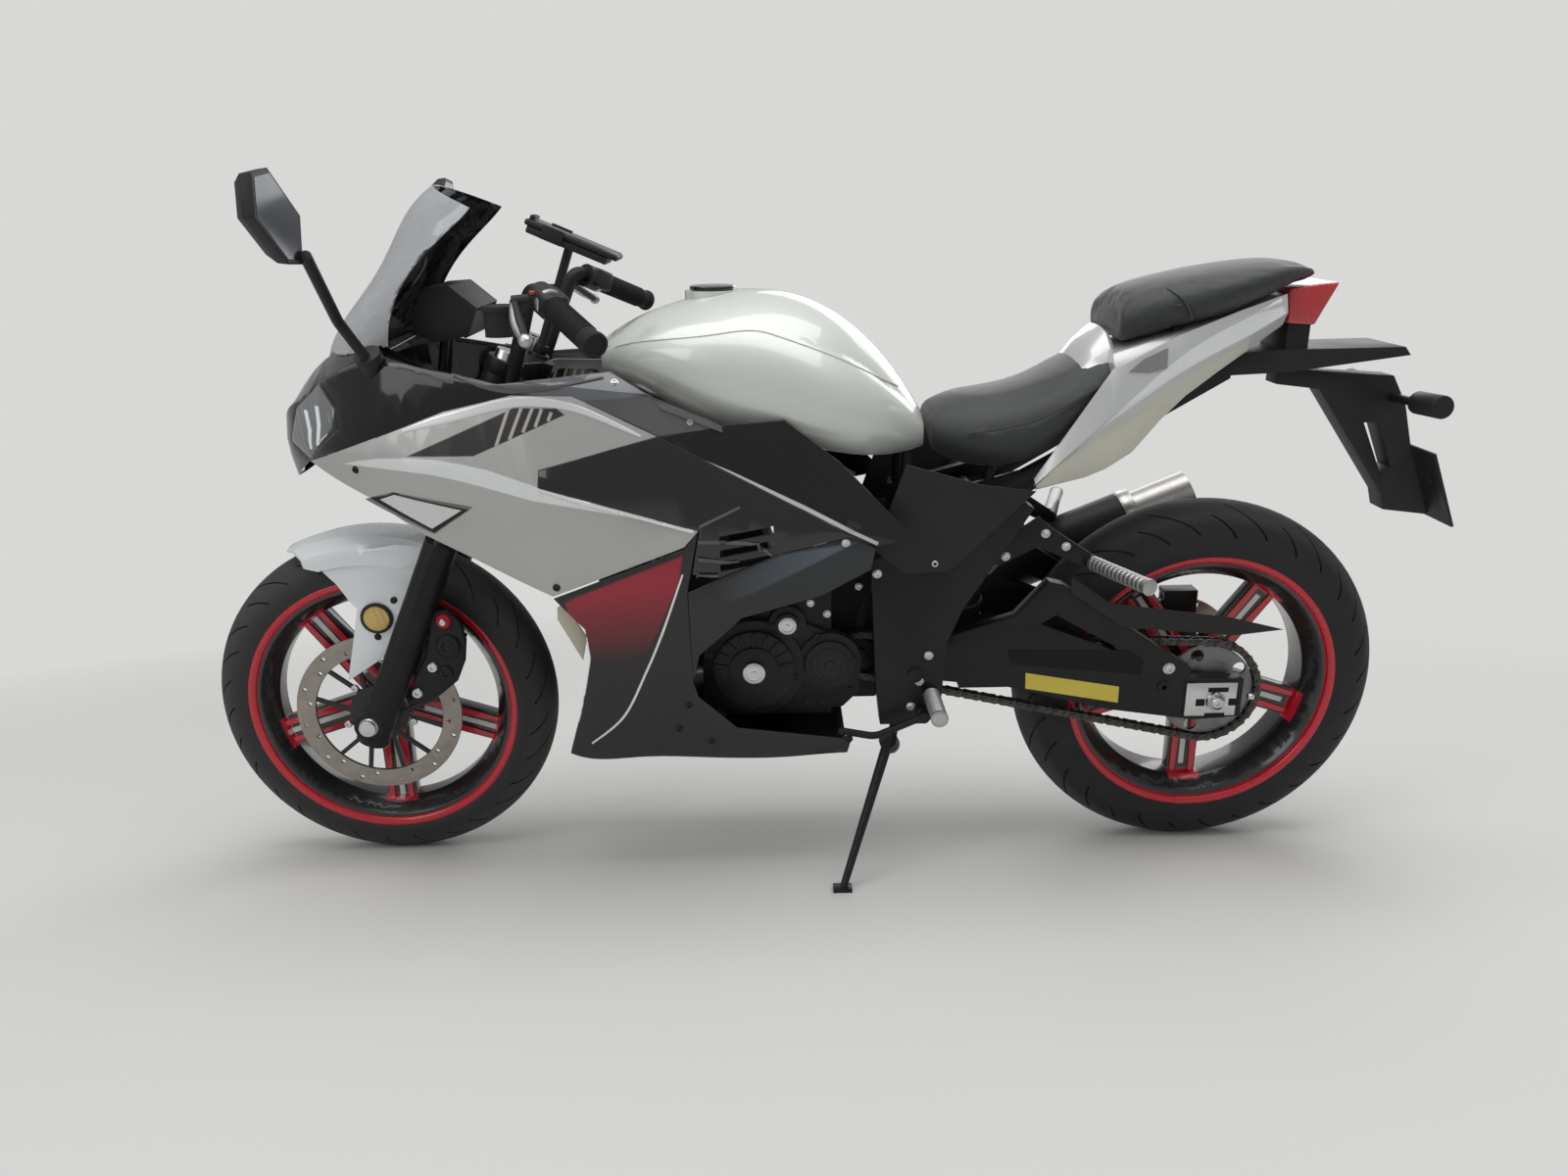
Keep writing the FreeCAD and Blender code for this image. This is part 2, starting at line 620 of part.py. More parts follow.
def handlebars():
    """Bars, grips, levers and the phone holder on the yoke."""
    spread = size("fork_spread")
    high = size("upper_yoke") - size("yoke_thick") / 2
    low = high - size("bar_clamp")
    bars, grips, levers = [], [], []
    for side in (LEFT, RIGHT):
        y = side * spread
        clamp = rod(fork_point(low, 0, y), fork_point(high, 0, y), size("slider_radius"))
        hole = rod(fork_point(low - 5, 0, y), fork_point(high + 5, 0, y), size("stanchion_radius"))
        inner, outer = at(*GRIP_INNER[side]), at(*GRIP_OUTER[side])
        lead = (outer - inner).normalize()
        foot = fork_point(low + size("bar_radius"), BAR_SETBACK, side * (spread + 20))
        tube = bent_tube([foot, inner - lead * 60, outer - lead * 4], size("bar_radius"), 24)
        bars.append(fused([clamp, tube]).cut(hole))
        core = rod(inner - lead * 60, outer - lead * 4, size("bar_radius"))
        grips.append(rod(inner, outer, size("grip_radius")).cut(core))
        perch = inner - lead * 18
        block = rod(perch - lead * 13, perch + lead * 13, 20)
        arm = rod(perch, perch + at(-44, 0, -4), 9)
        blade = rod(perch + at(-42, 0, -4), outer + at(-92, -side * 12, 4), 6)
        cup = perch + at(-70, -side * 28, -36)
        rim = cup + at(0, 0, 16)
        reservoir = fused([rod(cup - at(0, 0, 18), rim, 22), rod(rim, rim + at(0, 0, 5), 24),
                           rod(cup, perch + at(-10, 0, 0), 7)])
        bore = rod(inner - lead * 60, outer, size("bar_radius") + 0.1)
        levers.append(fused([block, arm, blade, reservoir]).cut(bore))
    node("handlebars", Part.makeCompound(bars))
    node("grips", Part.makeCompound(grips))
    node("levers", Part.makeCompound(levers))

    top = fork_point(size("upper_yoke") + 20, size("fork_offset"))
    centre = at(368, 0, 1052)
    knuckle = top + FORK_UP * 14
    post = fused([rod(top, knuckle, 11), rod(knuckle - FORK_UP * 4, centre, 7)])
    plate = Part.makeBox(128, 74, 10, Vector(-64, -37, 0))
    jaws = [Part.makeBox(34, 5, 22, Vector(-42, y, 0)) for y in (-42, 37)]
    stop = Part.makeBox(8, 40, 26, Vector(-68, -20, 0))
    holder = fused([plate, stop] + jaws)
    holder.rotate(Vector(0, 0, 0), ACROSS, 23)
    holder.translate(centre)
    node("phone_holder", fused([post, holder]))


def front_fender():
    """Front fender over the tyre, with its side plates on the sliders."""
    radius = tyre_radius("front")
    # Half section of the arch: radius and half width, outside and then inside.
    outside = [(radius + 20, 0), (radius + 14, 40), (radius - 4, 60), (radius - 30, 66)]
    inside = [(radius - 30, 63), (radius - 5, 57), (radius + 11, 38), (radius + 17, 0)]
    corners = [Vector(0, y, z) for z, y in outside + inside]
    arch = []
    for flip in (1, -1):
        edge = [Vector(0, corner.y * flip, corner.z) for corner in corners]
        face = Part.Face(Part.makePolygon(edge + edge[:1]))
        face.rotate(Vector(0, 0, 0), ACROSS, -26)
        arch.append(face.revolve(Vector(0, 0, 0), ACROSS, 46))
    shell = fused(arch)
    shell.translate(FRONT_AXLE)
    hem = [(-160, 566), (-160, 700), (160, 700), (160, 592), (110, 562), (0, 534), (-66, 546)]
    plan = [(-150, 10), (-88, 70), (160, 70), (160, -70), (-88, -70), (-150, -10)]
    nose = Part.Face(Part.makePolygon([at(x, y, 400) for x, y in plan + plan[:1]]))
    shell = shell.common(prism(hem, -80, 80)).common(nose.extrude(at(0, 0, 400)))
    # Side plate: a folded sheet (y, z) cut to its outline, its rear edge against the fork leg.
    face, wall = size("fender_plate_y"), size("skin")
    fold = [(57, 590), (60, 590), (63.5, 525), (face, 495), (face, 340), (face - wall, 340),
            (face - wall, 493.5), (60.5, 523.5)]
    sheet = Part.Face(Part.makePolygon([at(-80, -y, z) for y, z in fold + fold[:1]]))
    inset = size("fork_spread") - face
    reach = math.sqrt(size("slider_radius") ** 2 - inset ** 2) + size("seat_gap")
    low, high = fork_point(130, -reach), fork_point(232, -reach)
    edge = [(-66, 546), (-40, 575), (60, 590), (128, 582), (high.x, high.z), (low.x, low.z),
            (-42, 358), (-26, 421), (-10, 487)]
    plate = sheet.extrude(at(260, 0, 0)).common(prism(edge, -90, -50))
    node("front_fender", fused([shell, plate, mirrored(plate)]))


# Pegs of the frame: start, the way it points, radius, what it carries.
CARRIED = (
    ((422, 112, 760), (422, 112, 600), 7, "radiator"),
    ((500, 112, 770), (500, 112, 900), 10, "fuel_tank"),
    ((895, 72, 640), (895, 72, 800), 8, "fuel_tank"),
    ((1030, 72, 680), (1030, 72, 800), 8, "rider_seat"),
    ((1310, 72, 820), (1310, 72, 960), 8, "pillion_seat"),
    ((1340, 75, 840), (1340, 140, 880), 6, "tail_cowl"),
    ((450, 120, 795), (450, 260, 795), 8, "side_fairings"),
    ((150, 16, 846), (172, 16, 960), 7, "instruments"),
    ((140, 16, 848), (20, 16, 915), 7, "nose_cowl"),
)


def frame():
    """Head tube, main beams, pivot plates, seat rails and the stand bracket."""
    offset = size("fork_offset")
    clear = size("yoke_thick") / 2 + 1
    low, high = size("lower_yoke") + clear, size("upper_yoke") - clear
    head = rod(fork_point(low, offset), fork_point(high, offset), size("head_radius"))
    hollow = rod(fork_point(low - 1, offset), fork_point(high + 1, offset),
                 size("stem_radius") + size("running_gap"))
    gusset_plan = [(272, -24), (330, -46), (400, -128), (400, 128), (330, 46), (272, 24)]
    middle = fork_point((low + high) / 2, offset).z
    gusset_half = (high - low) * 0.19
    gusset_floor = [at(x, y, middle - gusset_half) for x, y in gusset_plan + gusset_plan[:1]]
    gusset_face = Part.Face(Part.makePolygon(gusset_floor))
    shapes = [head, gusset_face.extrude(Vector(0, 0, 2 * gusset_half))]
    beam = [(380, 758), (380, 818), (600, 770), (880, 600), (880, 540), (600, 690)]
    plate = [(832, 582), (884, 600), (955, 600), (1068, 672), (1084, 662), (980, 500),
             (955, 440), (948, 320), (925, 300), (850, 300), (842, 374)]
    rail = [(880, 650), (1080, 700), (1200, 765), (1399.7, 880), (1399.7, 845), (1210, 735), (1090, 665),
            (880, 615)]
    stay = [(262, 806), (150, 856), (118, 858), (118, 846), (146, 838), (255, 784)]
    lug = [(590, 702), (632, 682), (626, 640), (596, 640)]
    shapes.append(prism(stay, -24, 24))
    for side in (LEFT, RIGHT):
        shapes.append(prism(beam, side * 96, side * 128))
        shapes.append(prism(plate, side * 134, side * 166))
        shapes.append(prism(rail, side * 62, side * 82))
        shapes.append(prism(lug, side * 96, side * 112))
        for start, end, radius, target in CARRIED:
            y_start, y_end = side * start[1], side * end[1]
            shapes.append(peg(at(start[0], y_start, start[2]), at(end[0], y_end, end[2]), radius, target))
    crossings = ((860, 580, 14, 332), (1010, 655, 12, 332), (1066, 655, 10, 332), (1380, 858, 10, 150),
                 (size("pivot_x"), size("pivot_z"), 12, 346), (900, 630, 12, 250))
    for x, z, radius, length in crossings:
        shapes.append(barrel(x, 0, z, radius, length))
    pivot, axis = stand_pivot()
    cheek = size("stand_eye") + size("running_gap")
    shapes.append(rod(pivot - axis * 36, pivot - axis * cheek, 16))
    shapes.append(rod(pivot - axis * cheek, pivot + axis * cheek, size("stand_pin")))
    shapes.append(rod(pivot + axis * cheek, pivot + axis * (cheek + 7), 10))
    shapes.append(rod(pivot - axis * 31, at(888, -126, 335), 8))
    node("frame", fused(shapes).cut(hollow))


CYLINDER_FOOT = at(560, 0, 450)
CYLINDER_TILT = math.radians(size("cylinder_tilt"))
CYLINDER_UP = at(-math.sin(CYLINDER_TILT), 0, math.cos(CYLINDER_TILT))
CYLINDER_FRONT = at(-math.cos(CYLINDER_TILT), 0, -math.sin(CYLINDER_TILT))


CASE_HALF = size("case_half")
# Engine covers as stepped discs: side, x, z, radius and how far each stands out of the case.
COVER_STEPS = (
    (LEFT, 645, 396, 82, 22),
    (LEFT, 645, 396, 66, 32),
    (LEFT, 645, 396, 40, 36),
    (LEFT, 645, 396, 14, 44),
    (LEFT, 700, 470, 30, 18),
    (LEFT, 700, 470, 20, 26),
    (LEFT, 768, 402, 52, 20),
    (LEFT, 768, 402, 40, 28),
    (LEFT, 616, 356, 16, 20),
    (RIGHT, 700, 390, 84, 24),
    (RIGHT, 700, 390, 70, 36),
)


def engine():
    """Engine block with its covers and the gearbox sprocket."""
    front = [(560, 305), (560, 455), (640, 480), (700, 520), (772, 520), (772, 305)]
    back = [(770, 305), (770, 520), (840, 520), (872, 470), (872, 330), (850, 305)]
    case = fused([prism(front, -CASE_HALF, CASE_HALF), prism(back, -64, CASE_HALF)])
    cylinder = Part.makeBox(150, 160, 190, Vector(0, -80, 0))
    cylinder.rotate(Vector(0, 0, 0), ACROSS, -size("cylinder_tilt"))
    cylinder.translate(CYLINDER_FOOT)
    head_boss = barrel(610, 0, 655, 14, 2 * (96 - size("seat_gap")))
    rear_boss = barrel(862, 0, 318, 12, 2 * (134 - size("seat_gap")))
    belly_pegs = [peg(at(590, side * 120, 318), at(590, side * 260, 318), 8, "belly_pan")
                  for side in (LEFT, RIGHT)]
    shaft_x, shaft_z = size("gearbox_x"), size("gearbox_z")
    shaft = rod(at(shaft_x, -60, shaft_z), at(shaft_x, -94, shaft_z), 12)
    sprocket = barrel(shaft_x, size("chain_y"), shaft_z,
                      size("front_sprocket") - size("chain_height") / 2 - size("chain_gap"),
                      size("sprocket_thick"))
    bosses = [head_boss, rear_boss] + belly_pegs
    node("engine", fused([case, cylinder, shaft, sprocket] + bosses))

    left = [Part.makeCylinder(radius, out, at(x, side * CASE_HALF, z), ACROSS * side)
            for side, x, z, radius, out in COVER_STEPS if side == LEFT]
    right = [Part.makeCylinder(radius, out, at(x, side * CASE_HALF, z), ACROSS * side)
             for side, x, z, radius, out in COVER_STEPS if side == RIGHT]
    outline = [(606, 350), (650, 316), (790, 322), (818, 350),
               (818, 420), (770, 452), (700, 480), (610, 470)]
    apron = prism(outline, -CASE_HALF, -CASE_HALF - 14)
    ribs = []
    for turn in range(9):
        rib = Part.makeBox(20, 4, 5, Vector(44, 0, -2.5))
        rib.rotate(Vector(0, 0, 0), ACROSS, -20 * turn - 10)
        rib.translate(at(645, -CASE_HALF - 36, 396))
        ribs.append(rib)
    node("engine_covers", Part.makeCompound([fused([apron] + left + ribs), fused(right)]))


def exhaust():
    """Header from the cylinder's port, silencer, end cap and hanger."""
    port = CYLINDER_FOOT + CYLINDER_UP * 120 + CYLINDER_FRONT * size("seat_gap") + at(0, 45, 0)
    run = size("header_run")
    start, end, tip = at(1067, 190, 436), at(1357, 193, 552), at(1455, 195, 591)
    pipe = bent_tube([port, port + CYLINDER_FRONT * 56, at(466, 60, run), at(640, 92, run),
                      at(970, 100, run), at(1040, 172, 350), start], 18, 30)
    can = rod(start, end, 50)
    cap = rod(end, tip, 42).cut(rod(end + (tip - end) * 0.3, tip, 34))
    hanger = peg(at(1150, 188, 480), at(1120, 120, 605), 8, "footrests")
    node("exhaust", fused([pipe, can, cap, hanger]))


def radiator_and_shock():
    """Radiator ahead of the engine, and the rear shock."""
    node("radiator", Part.makeBox(40, 260, 200, Vector(402, -130, 430)))
    node("rear_shock", rod(at(1002, 0, 402), at(1008, 0, 642.7), 34))


CAP_HINGE = at(551, 0, 990)


def arm_x(share):
    """Bike x at a share of the way from the swingarm pivot to the rear axle."""
    return size("pivot_x") + share * (WHEELBASE - size("pivot_x"))


def on_arm(outline):
    """A side-view outline whose corners are a share of the swingarm and a height."""
    return [(arm_x(share), z) for share, z in outline]


def boss_face(side):
    """The middle of a paddock stand boss's outer face."""
    return at(arm_x(0.83), side * (size("swingarm_half") + 6), 340)


def plate_centre():
    """The middle of the number plate's two holes, and the way the plate faces."""
    return at(1756, 0, 670), Vector(0.93, 0, 0.37)


def creased_section(x, floor, flank, crease, crown):
    """A tank or seat section: flat floor, curved flanks and a curved top between two creases."""
    def corner(side, spot):
        """A point of the section on one side."""
        return at(x, side * spot[0], spot[1])

    edges = [Part.Arc(corner(-1, crease), corner(1, crown), corner(1, crease)).toShape(),
             Part.Arc(corner(1, crease), corner(1, flank), corner(1, floor)).toShape(),
             Part.makeLine(corner(1, floor), corner(-1, floor)),
             Part.Arc(corner(-1, floor), corner(-1, flank), corner(-1, crease)).toShape()]
    return Part.Wire(edges)


def bodywork():
    """Painted panels, nose, screen, tank and tail."""
    gap = size("panel_gap")
    louvres = [[(600, z - 6), (600, z + 4), (680, z + 18), (680, z + 8)] for z in LOUVRES]
    node("side_fairings", both_sides(panel(shrunk(SILVER, gap), [SIGNAL])))
    node("front_signals", both_sides(panel(shrunk(SIGNAL, gap))))
    node("upper_panels", both_sides(panel(shrunk(UPPER, gap))))
    node("side_scoops", both_sides(panel(shrunk(SCOOP, gap), louvres)))
    node("sweep_panels", both_sides(panel(shrunk(SWEEP, gap))))
    belly = panel(shrunk(BELLY, gap))
    node("belly_pan", fused([belly, mirrored(belly)]))
    nose = panel(shrunk(NOSE, gap), [HEADLIGHT])
    node("nose_cowl", fused([nose, mirrored(nose)]))
    node("headlights", both_sides(panel(shrunk(HEADLIGHT, gap))))

    # Screen sections from base to top: side x, side half width, side z, middle x, middle z.
    rows = ((106, 120, 900, -24, 868), (110, 127, 935, -6, 925), (130, 131, 990, 42, 985),
            (176, 125, 1050, 91, 1051), (245, 110, 1114, 169, 1147))
    wires = []
    edge = Vector(0, size("skin"), 0)
    for side_x, half, side_z, mid_x, mid_z in rows:
        left, middle, right = at(side_x, -half, side_z), at(mid_x, 0, mid_z), at(side_x, half, side_z)
        inward = (at(side_x, 0, side_z) - middle).normalize() * size("skin")
        outer = Part.Arc(left, middle, right).toShape()
        inner = Part.Arc(right - edge, middle + inward, left + edge).toShape()
        wires.append(Part.Wire([outer, Part.makeLine(right, right - edge), inner,
                                Part.makeLine(left + edge, left)]))
    node("windscreen", lofted(wires, ruled=False).cut(both_sides(form_solid(-size("seat_gap")))))

    hood = [(128, 930), (146, 990), (156, 1000), (192, 1002), (232, 968), (214, 926), (170, 918)]
    dial = [(238, 960), (219, 922), (209, 927), (200, 990)]
    back = [(x - 10, z) for x, z in dial]
    hood = prism(hood, -72, 72).cut(prism(dial, -64, 64))
    node("instruments", fused([hood, prism(back, -64, 64)]))

    # Tank sections: x, then half width and height of the floor, the flank, the crease and the crown.
    tank_rows = ((418, (52, 868), (74, 886), (58, 902), (0, 914)),
                 (500, (118, 838), (152, 886), (124, 930), (0, 957)),
                 (600, (148, 798), (184, 872), (146, 944), (0, 982)),
                 (700, (140, 768), (188, 856), (140, 932), (0, 981)),
                 (800, (130, 745), (166, 824), (112, 888), (0, 936)),
                 (880, (94, 738), (114, 780), (78, 826), (0, 856)),
                 (922, (62, 742), (72, 762), (54, 782), (0, 794)))
    tank = lofted([creased_section(*row) for row in tank_rows], ruled=False)
    neck = rod(at(590, 0, 940), at(590, 0, 985), 44)
    node("fuel_tank", fused([tank, neck]))
    node("fuel_cap", rod(at(590, 0, 985.3), at(590, 0, 992), 36))

    # Seat sections, in the same columns.
    rider_rows = ((930, (66, 738), (78, 766), (62, 788), (0, 798)),
                  (985, (92, 716), (112, 764), (86, 800), (0, 816)),
                  (1080, (112, 726), (130, 782), (106, 816), (0, 832)),
                  (1160, (106, 772), (124, 822), (100, 854), (0, 868)),
                  (1235, (84, 822), (97, 856), (80, 878), (0, 888)))
    pillion_rows = ((1243, (78, 910), (94, 942), (76, 966), (0, 978)),
                    (1320, (96, 928), (112, 964), (90, 988), (0, 999)),
                    (1420, (88, 957), (106, 986), (84, 1005), (0, 1014)),
                    (1500, (62, 990), (76, 1001), (60, 1010), (0, 1016)),
                    (1535, (36, 995), (45, 1000), (36, 1004), (0, 1007)))
    node("rider_seat", lofted([creased_section(*row) for row in rider_rows], ruled=False))
    node("pillion_seat", lofted([creased_section(*row) for row in pillion_rows], ruled=False))

    # Tail panel sections: x, low z, middle half width and z, high z.
    tail_rows = ((1087, 690, 150, 696, 702), (1200, 762, 142, 800, 868), (1300, 820, 124, 860, 915),
                 (1400, 876, 106, 905, 950), (1475, 925, 88, 945, 972))
    wires = []
    for x, low, half, middle, high in tail_rows:
        outer = [at(x, -half + 14, low), at(x, -half, middle), at(x, -half + 10, high)]
        inner = [corner + Vector(0, size("skin"), 0) for corner in reversed(outer)]
        wires.append(Part.makePolygon(outer + inner + outer[:1]))
    node("tail_cowl", both_sides(lofted(wires)))
    node("tail_lamp", prism([(1486, 978), (1536, 985), (1565, 987), (1533, 922), (1490, 925)], -58, 58))
    cover = [(884, 735), (1000, 702), (1085, 690), (955, 562), (884, 560), (836, 600)]
    node("side_covers", both_sides(prism(cover, -169.3, -166.3)))


def tail_end():
    """Inner rear mudguard with the plate hanger, and the rear signals."""
    fin = prism([(1400, 880), (1479, 885), (1680, 887), (1690, 874), (1501, 850), (1400, 846)], -62, 62)
    hanger = prism([(1500, 849), (1690, 836), (1716, 790), (1737, 716), (1784, 602), (1706, 612), (1698, 640),
                    (1571, 816), (1500, 825)], -22, 22)
    slot = prism([(1652, 760), (1676, 760), (1708, 684), (1692, 674)], -30, 30)
    plate = Part.makeBox(4, 190, 130, Vector(0, -95, 0))
    plate.rotate(Vector(0, 0, 0), ACROSS, -22)
    plate.translate(at(1783, 0, 600))
    lamp_seat = prism([(1494, 870), (1494, 924.4), (1530, 921.9), (1530, 870)], -50, 50)
    shape = fused([fin, hanger.cut(slot), plate, lamp_seat])
    for side in (LEFT, RIGHT):
        centre = at(1756, side * size("plate_pitch"), 670)
        shape = shape.cut(rod(centre - at(20, 0, 8), centre + at(20, 0, 8), size("plate_hole")))
    node("rear_mudguard", shape)
    stalks = []
    for side in (LEFT, RIGHT):
        stalk = peg(at(1700, side * 90, 803), at(1690, 0, 800), 7, "rear_mudguard")
        lamp = rod(at(1700, side * 85, 803), at(1704, side * 150, 806), 18)
        stalks.append(fused([stalk, lamp]))
    node("rear_signals", Part.makeCompound(stalks))


def rear_end():
    """Swingarm, axle, guards, shock and the brake calipers."""
    half, wall = size("swingarm_half"), size("swingarm_wall")
    beam = on_arm([(-0.05, 410), (0.334, 470), (0.916, 355), (1.094, 350), (1.094, 283), (0.941, 278),
                   (0.652, 300), (0.31, 345), (-0.05, 366)])
    brace = on_arm([(0.305, 455), (0.432, 528), (0.481, 522), (0.916, 372), (0.916, 340), (0.462, 470),
                    (0.363, 440)])
    shapes, holes = [], []
    for side in (LEFT, RIGHT):
        shapes.append(prism(beam, side * (half - wall), side * half))
        shapes.append(prism(brace, side * (half - wall), side * half))
        end = boss_face(side)
        shapes.append(rod(end - at(0, side * 10, 0), end, size("boss_radius")))
        holes.append(rod(end, end - at(0, side * size("boss_depth"), 0), size("boss_thread")))
    bridge = arm_x(0.334) - arm_x(0.157)
    shapes.append(Part.makeBox(bridge, 2 * half - 4, 58, Vector(arm_x(0.157), 2 - half, 343)))
    shapes.append(barrel(size("pivot_x"), 0, size("pivot_z"), 22, 2 * half + 18))
    holes.append(barrel(size("pivot_x"), 0, size("pivot_z"), 12, 600))
    holes.append(barrel(WHEELBASE, 0, REAR_Z, size("axle_radius"), 600))
    node("swingarm", fused(shapes).cut(holes))
    plates = []
    for side in (LEFT, RIGHT):
        low, high, near, far = REAR_Z - 28, REAR_Z + 31, WHEELBASE - 49, WHEELBASE + 36
        plates.append(prism([(near, high), (far, high), (far, low), (near, low)], side * half,
                            side * (half + 6)))
        plates.append(barrel(WHEELBASE, side * (half + 10), REAR_Z, 15, 12))
    node("rear_axle", fused([barrel(WHEELBASE, 0, REAR_Z, size("axle_radius"), 2 * half + 12)] + plates))
    hugger = on_arm([(0.501, 536), (0.633, 490), (1.022, 462), (1.2, 439), (1.041, 430), (0.676, 448),
                     (0.501, 510)])
    node("chain_guard", prism(hugger, -half - 3.3, -half - 0.3))
    slot = size("disc_thick") + 3
    rear_y = size("rear_disc_y")
    caliper = Part.makeBox(60, 20, 62, Vector(WHEELBASE - 30, rear_y - 14, REAR_Z + 62))
    outer_half = Part.makeBox(60, 12, 62, Vector(WHEELBASE - 30, rear_y + slot / 2, REAR_Z + 62))
    hanger = prism([(WHEELBASE - 32, REAR_Z + 104), (WHEELBASE + 32, REAR_Z + 104),
                    (WHEELBASE + 18, REAR_Z - 16), (WHEELBASE - 18, REAR_Z - 16)], 90,
                   half - wall - size("seat_gap")).cut(barrel(WHEELBASE, 0, REAR_Z, size("axle_radius"), 400))
    node("rear_caliper", fused([caliper, outer_half, hanger,
         Part.makeBox(60, 34, 8, Vector(WHEELBASE - 30, rear_y - 14, REAR_Z + 118))]).cut(
         Part.makeBox(70, slot, 56, Vector(WHEELBASE - 35, rear_y - slot / 2, REAR_Z + 60))))
    front_y = size("front_disc_y")
    block = Part.makeBox(50, 48, 96, Vector(32, front_y - 28, 92))
    lug = Part.makeBox(20, 20, 70, Vector(27.3, front_y - 34, 105))
    gap = Part.makeBox(70, slot, 120, Vector(20, front_y - slot / 2, 60))
    caliper = fused([block, lug]).cut(gap)
    caliper.rotate(Vector(0, 0, 0), ACROSS, size("rake"))
    caliper.translate(FRONT_AXLE + FORK_BACK * size("axle_lead"))
    node("front_caliper", caliper)


def controls():
    """Footrests, pedals and mirrors."""
    pegs = []
    bracket = [(1004, 572), (1100, 640), (1115, 625), (1190, 575), (1180, 555), (1100, 590), (1040, 560)]
    for side in (LEFT, RIGHT):
        pegs.append(rod(at(932, side * (166 + size("seat_gap")), 356), at(932, side * 270, 356), 12))
        pegs.append(fused([prism(bracket, side * 127.7, side * 133.7), rod(at(1183, side * 130, 566),
                    at(1232, side * 290, 572), 11)]))
    node("footrests", Part.makeCompound(pegs))
    pedals = []
    for side in (LEFT, RIGHT):
        pivot = rod(at(918, side * (166 + size("seat_gap")), 324), at(918, side * 198, 324), 9)
        arm = bent_tube([at(918, side * 190, 324), at(840, side * 190, 290), at(780, side * 190, 302)], 6, 40)
        pedals.append(fused([pivot, arm]))
    node("pedals", Part.makeCompound(pedals))
    mirrors = []
    for side in (LEFT, RIGHT):
        stem = bent_tube([at(92, side * 140, 880), at(70, side * 215, 965), at(85, side * 340, 1060)], 8, 40)
        foot = rod(at(95, side * 132, 868), at(86, side * 160, 912), 20)
        stem = fused([stem, foot]).cut(both_sides(form_solid(-size("seat_gap"))))
        corners = [(-80, -20), (-60, 38), (40, 42), (80, 10), (60, -38), (-40, -42)]
        wires = []
        for back, share in ((0, 1), (-14, 0.97), (-26, 0.78), (-31, 0.5)):
            loop = [Vector(back, y * side * share, z * share) for y, z in corners + corners[:1]]
            wires.append(Part.makePolygon(loop))
        head = lofted(wires)
        head.rotate(Vector(0, 0, 0), Vector(1, 0, 0), side * 32)
        head.translate(at(80, side * 395, 1108))
        mirrors.append(fused([stem, head]))
    node("mirrors", Part.makeCompound(mirrors))


def stand_pivot():
    """The side stand's pivot and its axis, about which the leg folds up and rearward."""
    pivot = at(size("stand_x"), size("stand_y"), size("stand_z"))
    down = (ground_point(size("foot_x"), size("foot_y"), 0) - pivot).normalize()
    folded = Vector(0.95, -0.30, -0.10).normalize()
    return pivot, down.cross(folded).normalize()


def side_stand():
    """Side stand with its foot on the ground."""
    pivot, axis = stand_pivot()
    foot = ground_point(size("foot_x"), size("foot_y"), 0)
    eye = rod(pivot - axis * size("stand_eye"), pivot + axis * size("stand_eye"), 15)
    leg = Part.makeCone(size("stand_eye"), 6, (foot - pivot).Length, pivot, foot - pivot)
    length, width = size("foot_length"), size("foot_width")
    pad = Part.makeBox(length, width, 7, Vector(size("foot_x") - length / 2, size("foot_y") - width / 2, 0))
    pad.rotate(Vector(0, 0, 0), Vector(1, 0, 0), -size("lean_angle"))
    below = Part.makeBox(400, 400, 60, Vector(size("foot_x") - 200, size("foot_y") - 200, -60))
    below.rotate(Vector(0, 0, 0), Vector(1, 0, 0), -size("lean_angle"))
    hole = rod(pivot - axis * 60, pivot + axis * 60, size("stand_pin") + 0.1)
    node("side_stand", fused([eye, leg, pad]).cut([below, hole]))


wheels()
discs_and_sprocket()
chain()
fork()
handlebars()
front_fender()
radiator_and_shock()
bodywork()
tail_end()
engine()
frame()
rear_end()
controls()
exhaust()
side_stand()
DOC.recompute()

for item in DOC.Objects:
    if "Invalid" in item.State or "Error" in item.State:
        raise RuntimeError(f"{item.Name} failed: {item.State}")
for piece in NODES:
    if piece.Shape.isNull() or not piece.Shape.isValid():
        raise RuntimeError(f"{piece.Label} has no sound shape")
os.makedirs("parts", exist_ok=True)
for piece in NODES:
    piece.Shape.exportStep(f"parts/{piece.Label}.step")
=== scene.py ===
"""Studio scene of a full-faired sport motorcycle leaning on its side stand.

Pieces are modelled upright in the bike's own frame, in metres: X runs rearward from the front axle,
Y to the rider's right and Z up. Each one is then leaned over as the CAD frame is.
"""
import json
import logging
import math
from dataclasses import dataclass, field
from enum import Enum
from functools import reduce
from typing import Callable, Iterable, Optional, Sequence, Union

import bmesh
import bpy
import numpy as np
from mathutils import Matrix, Vector
from mathutils.bvhtree import BVHTree


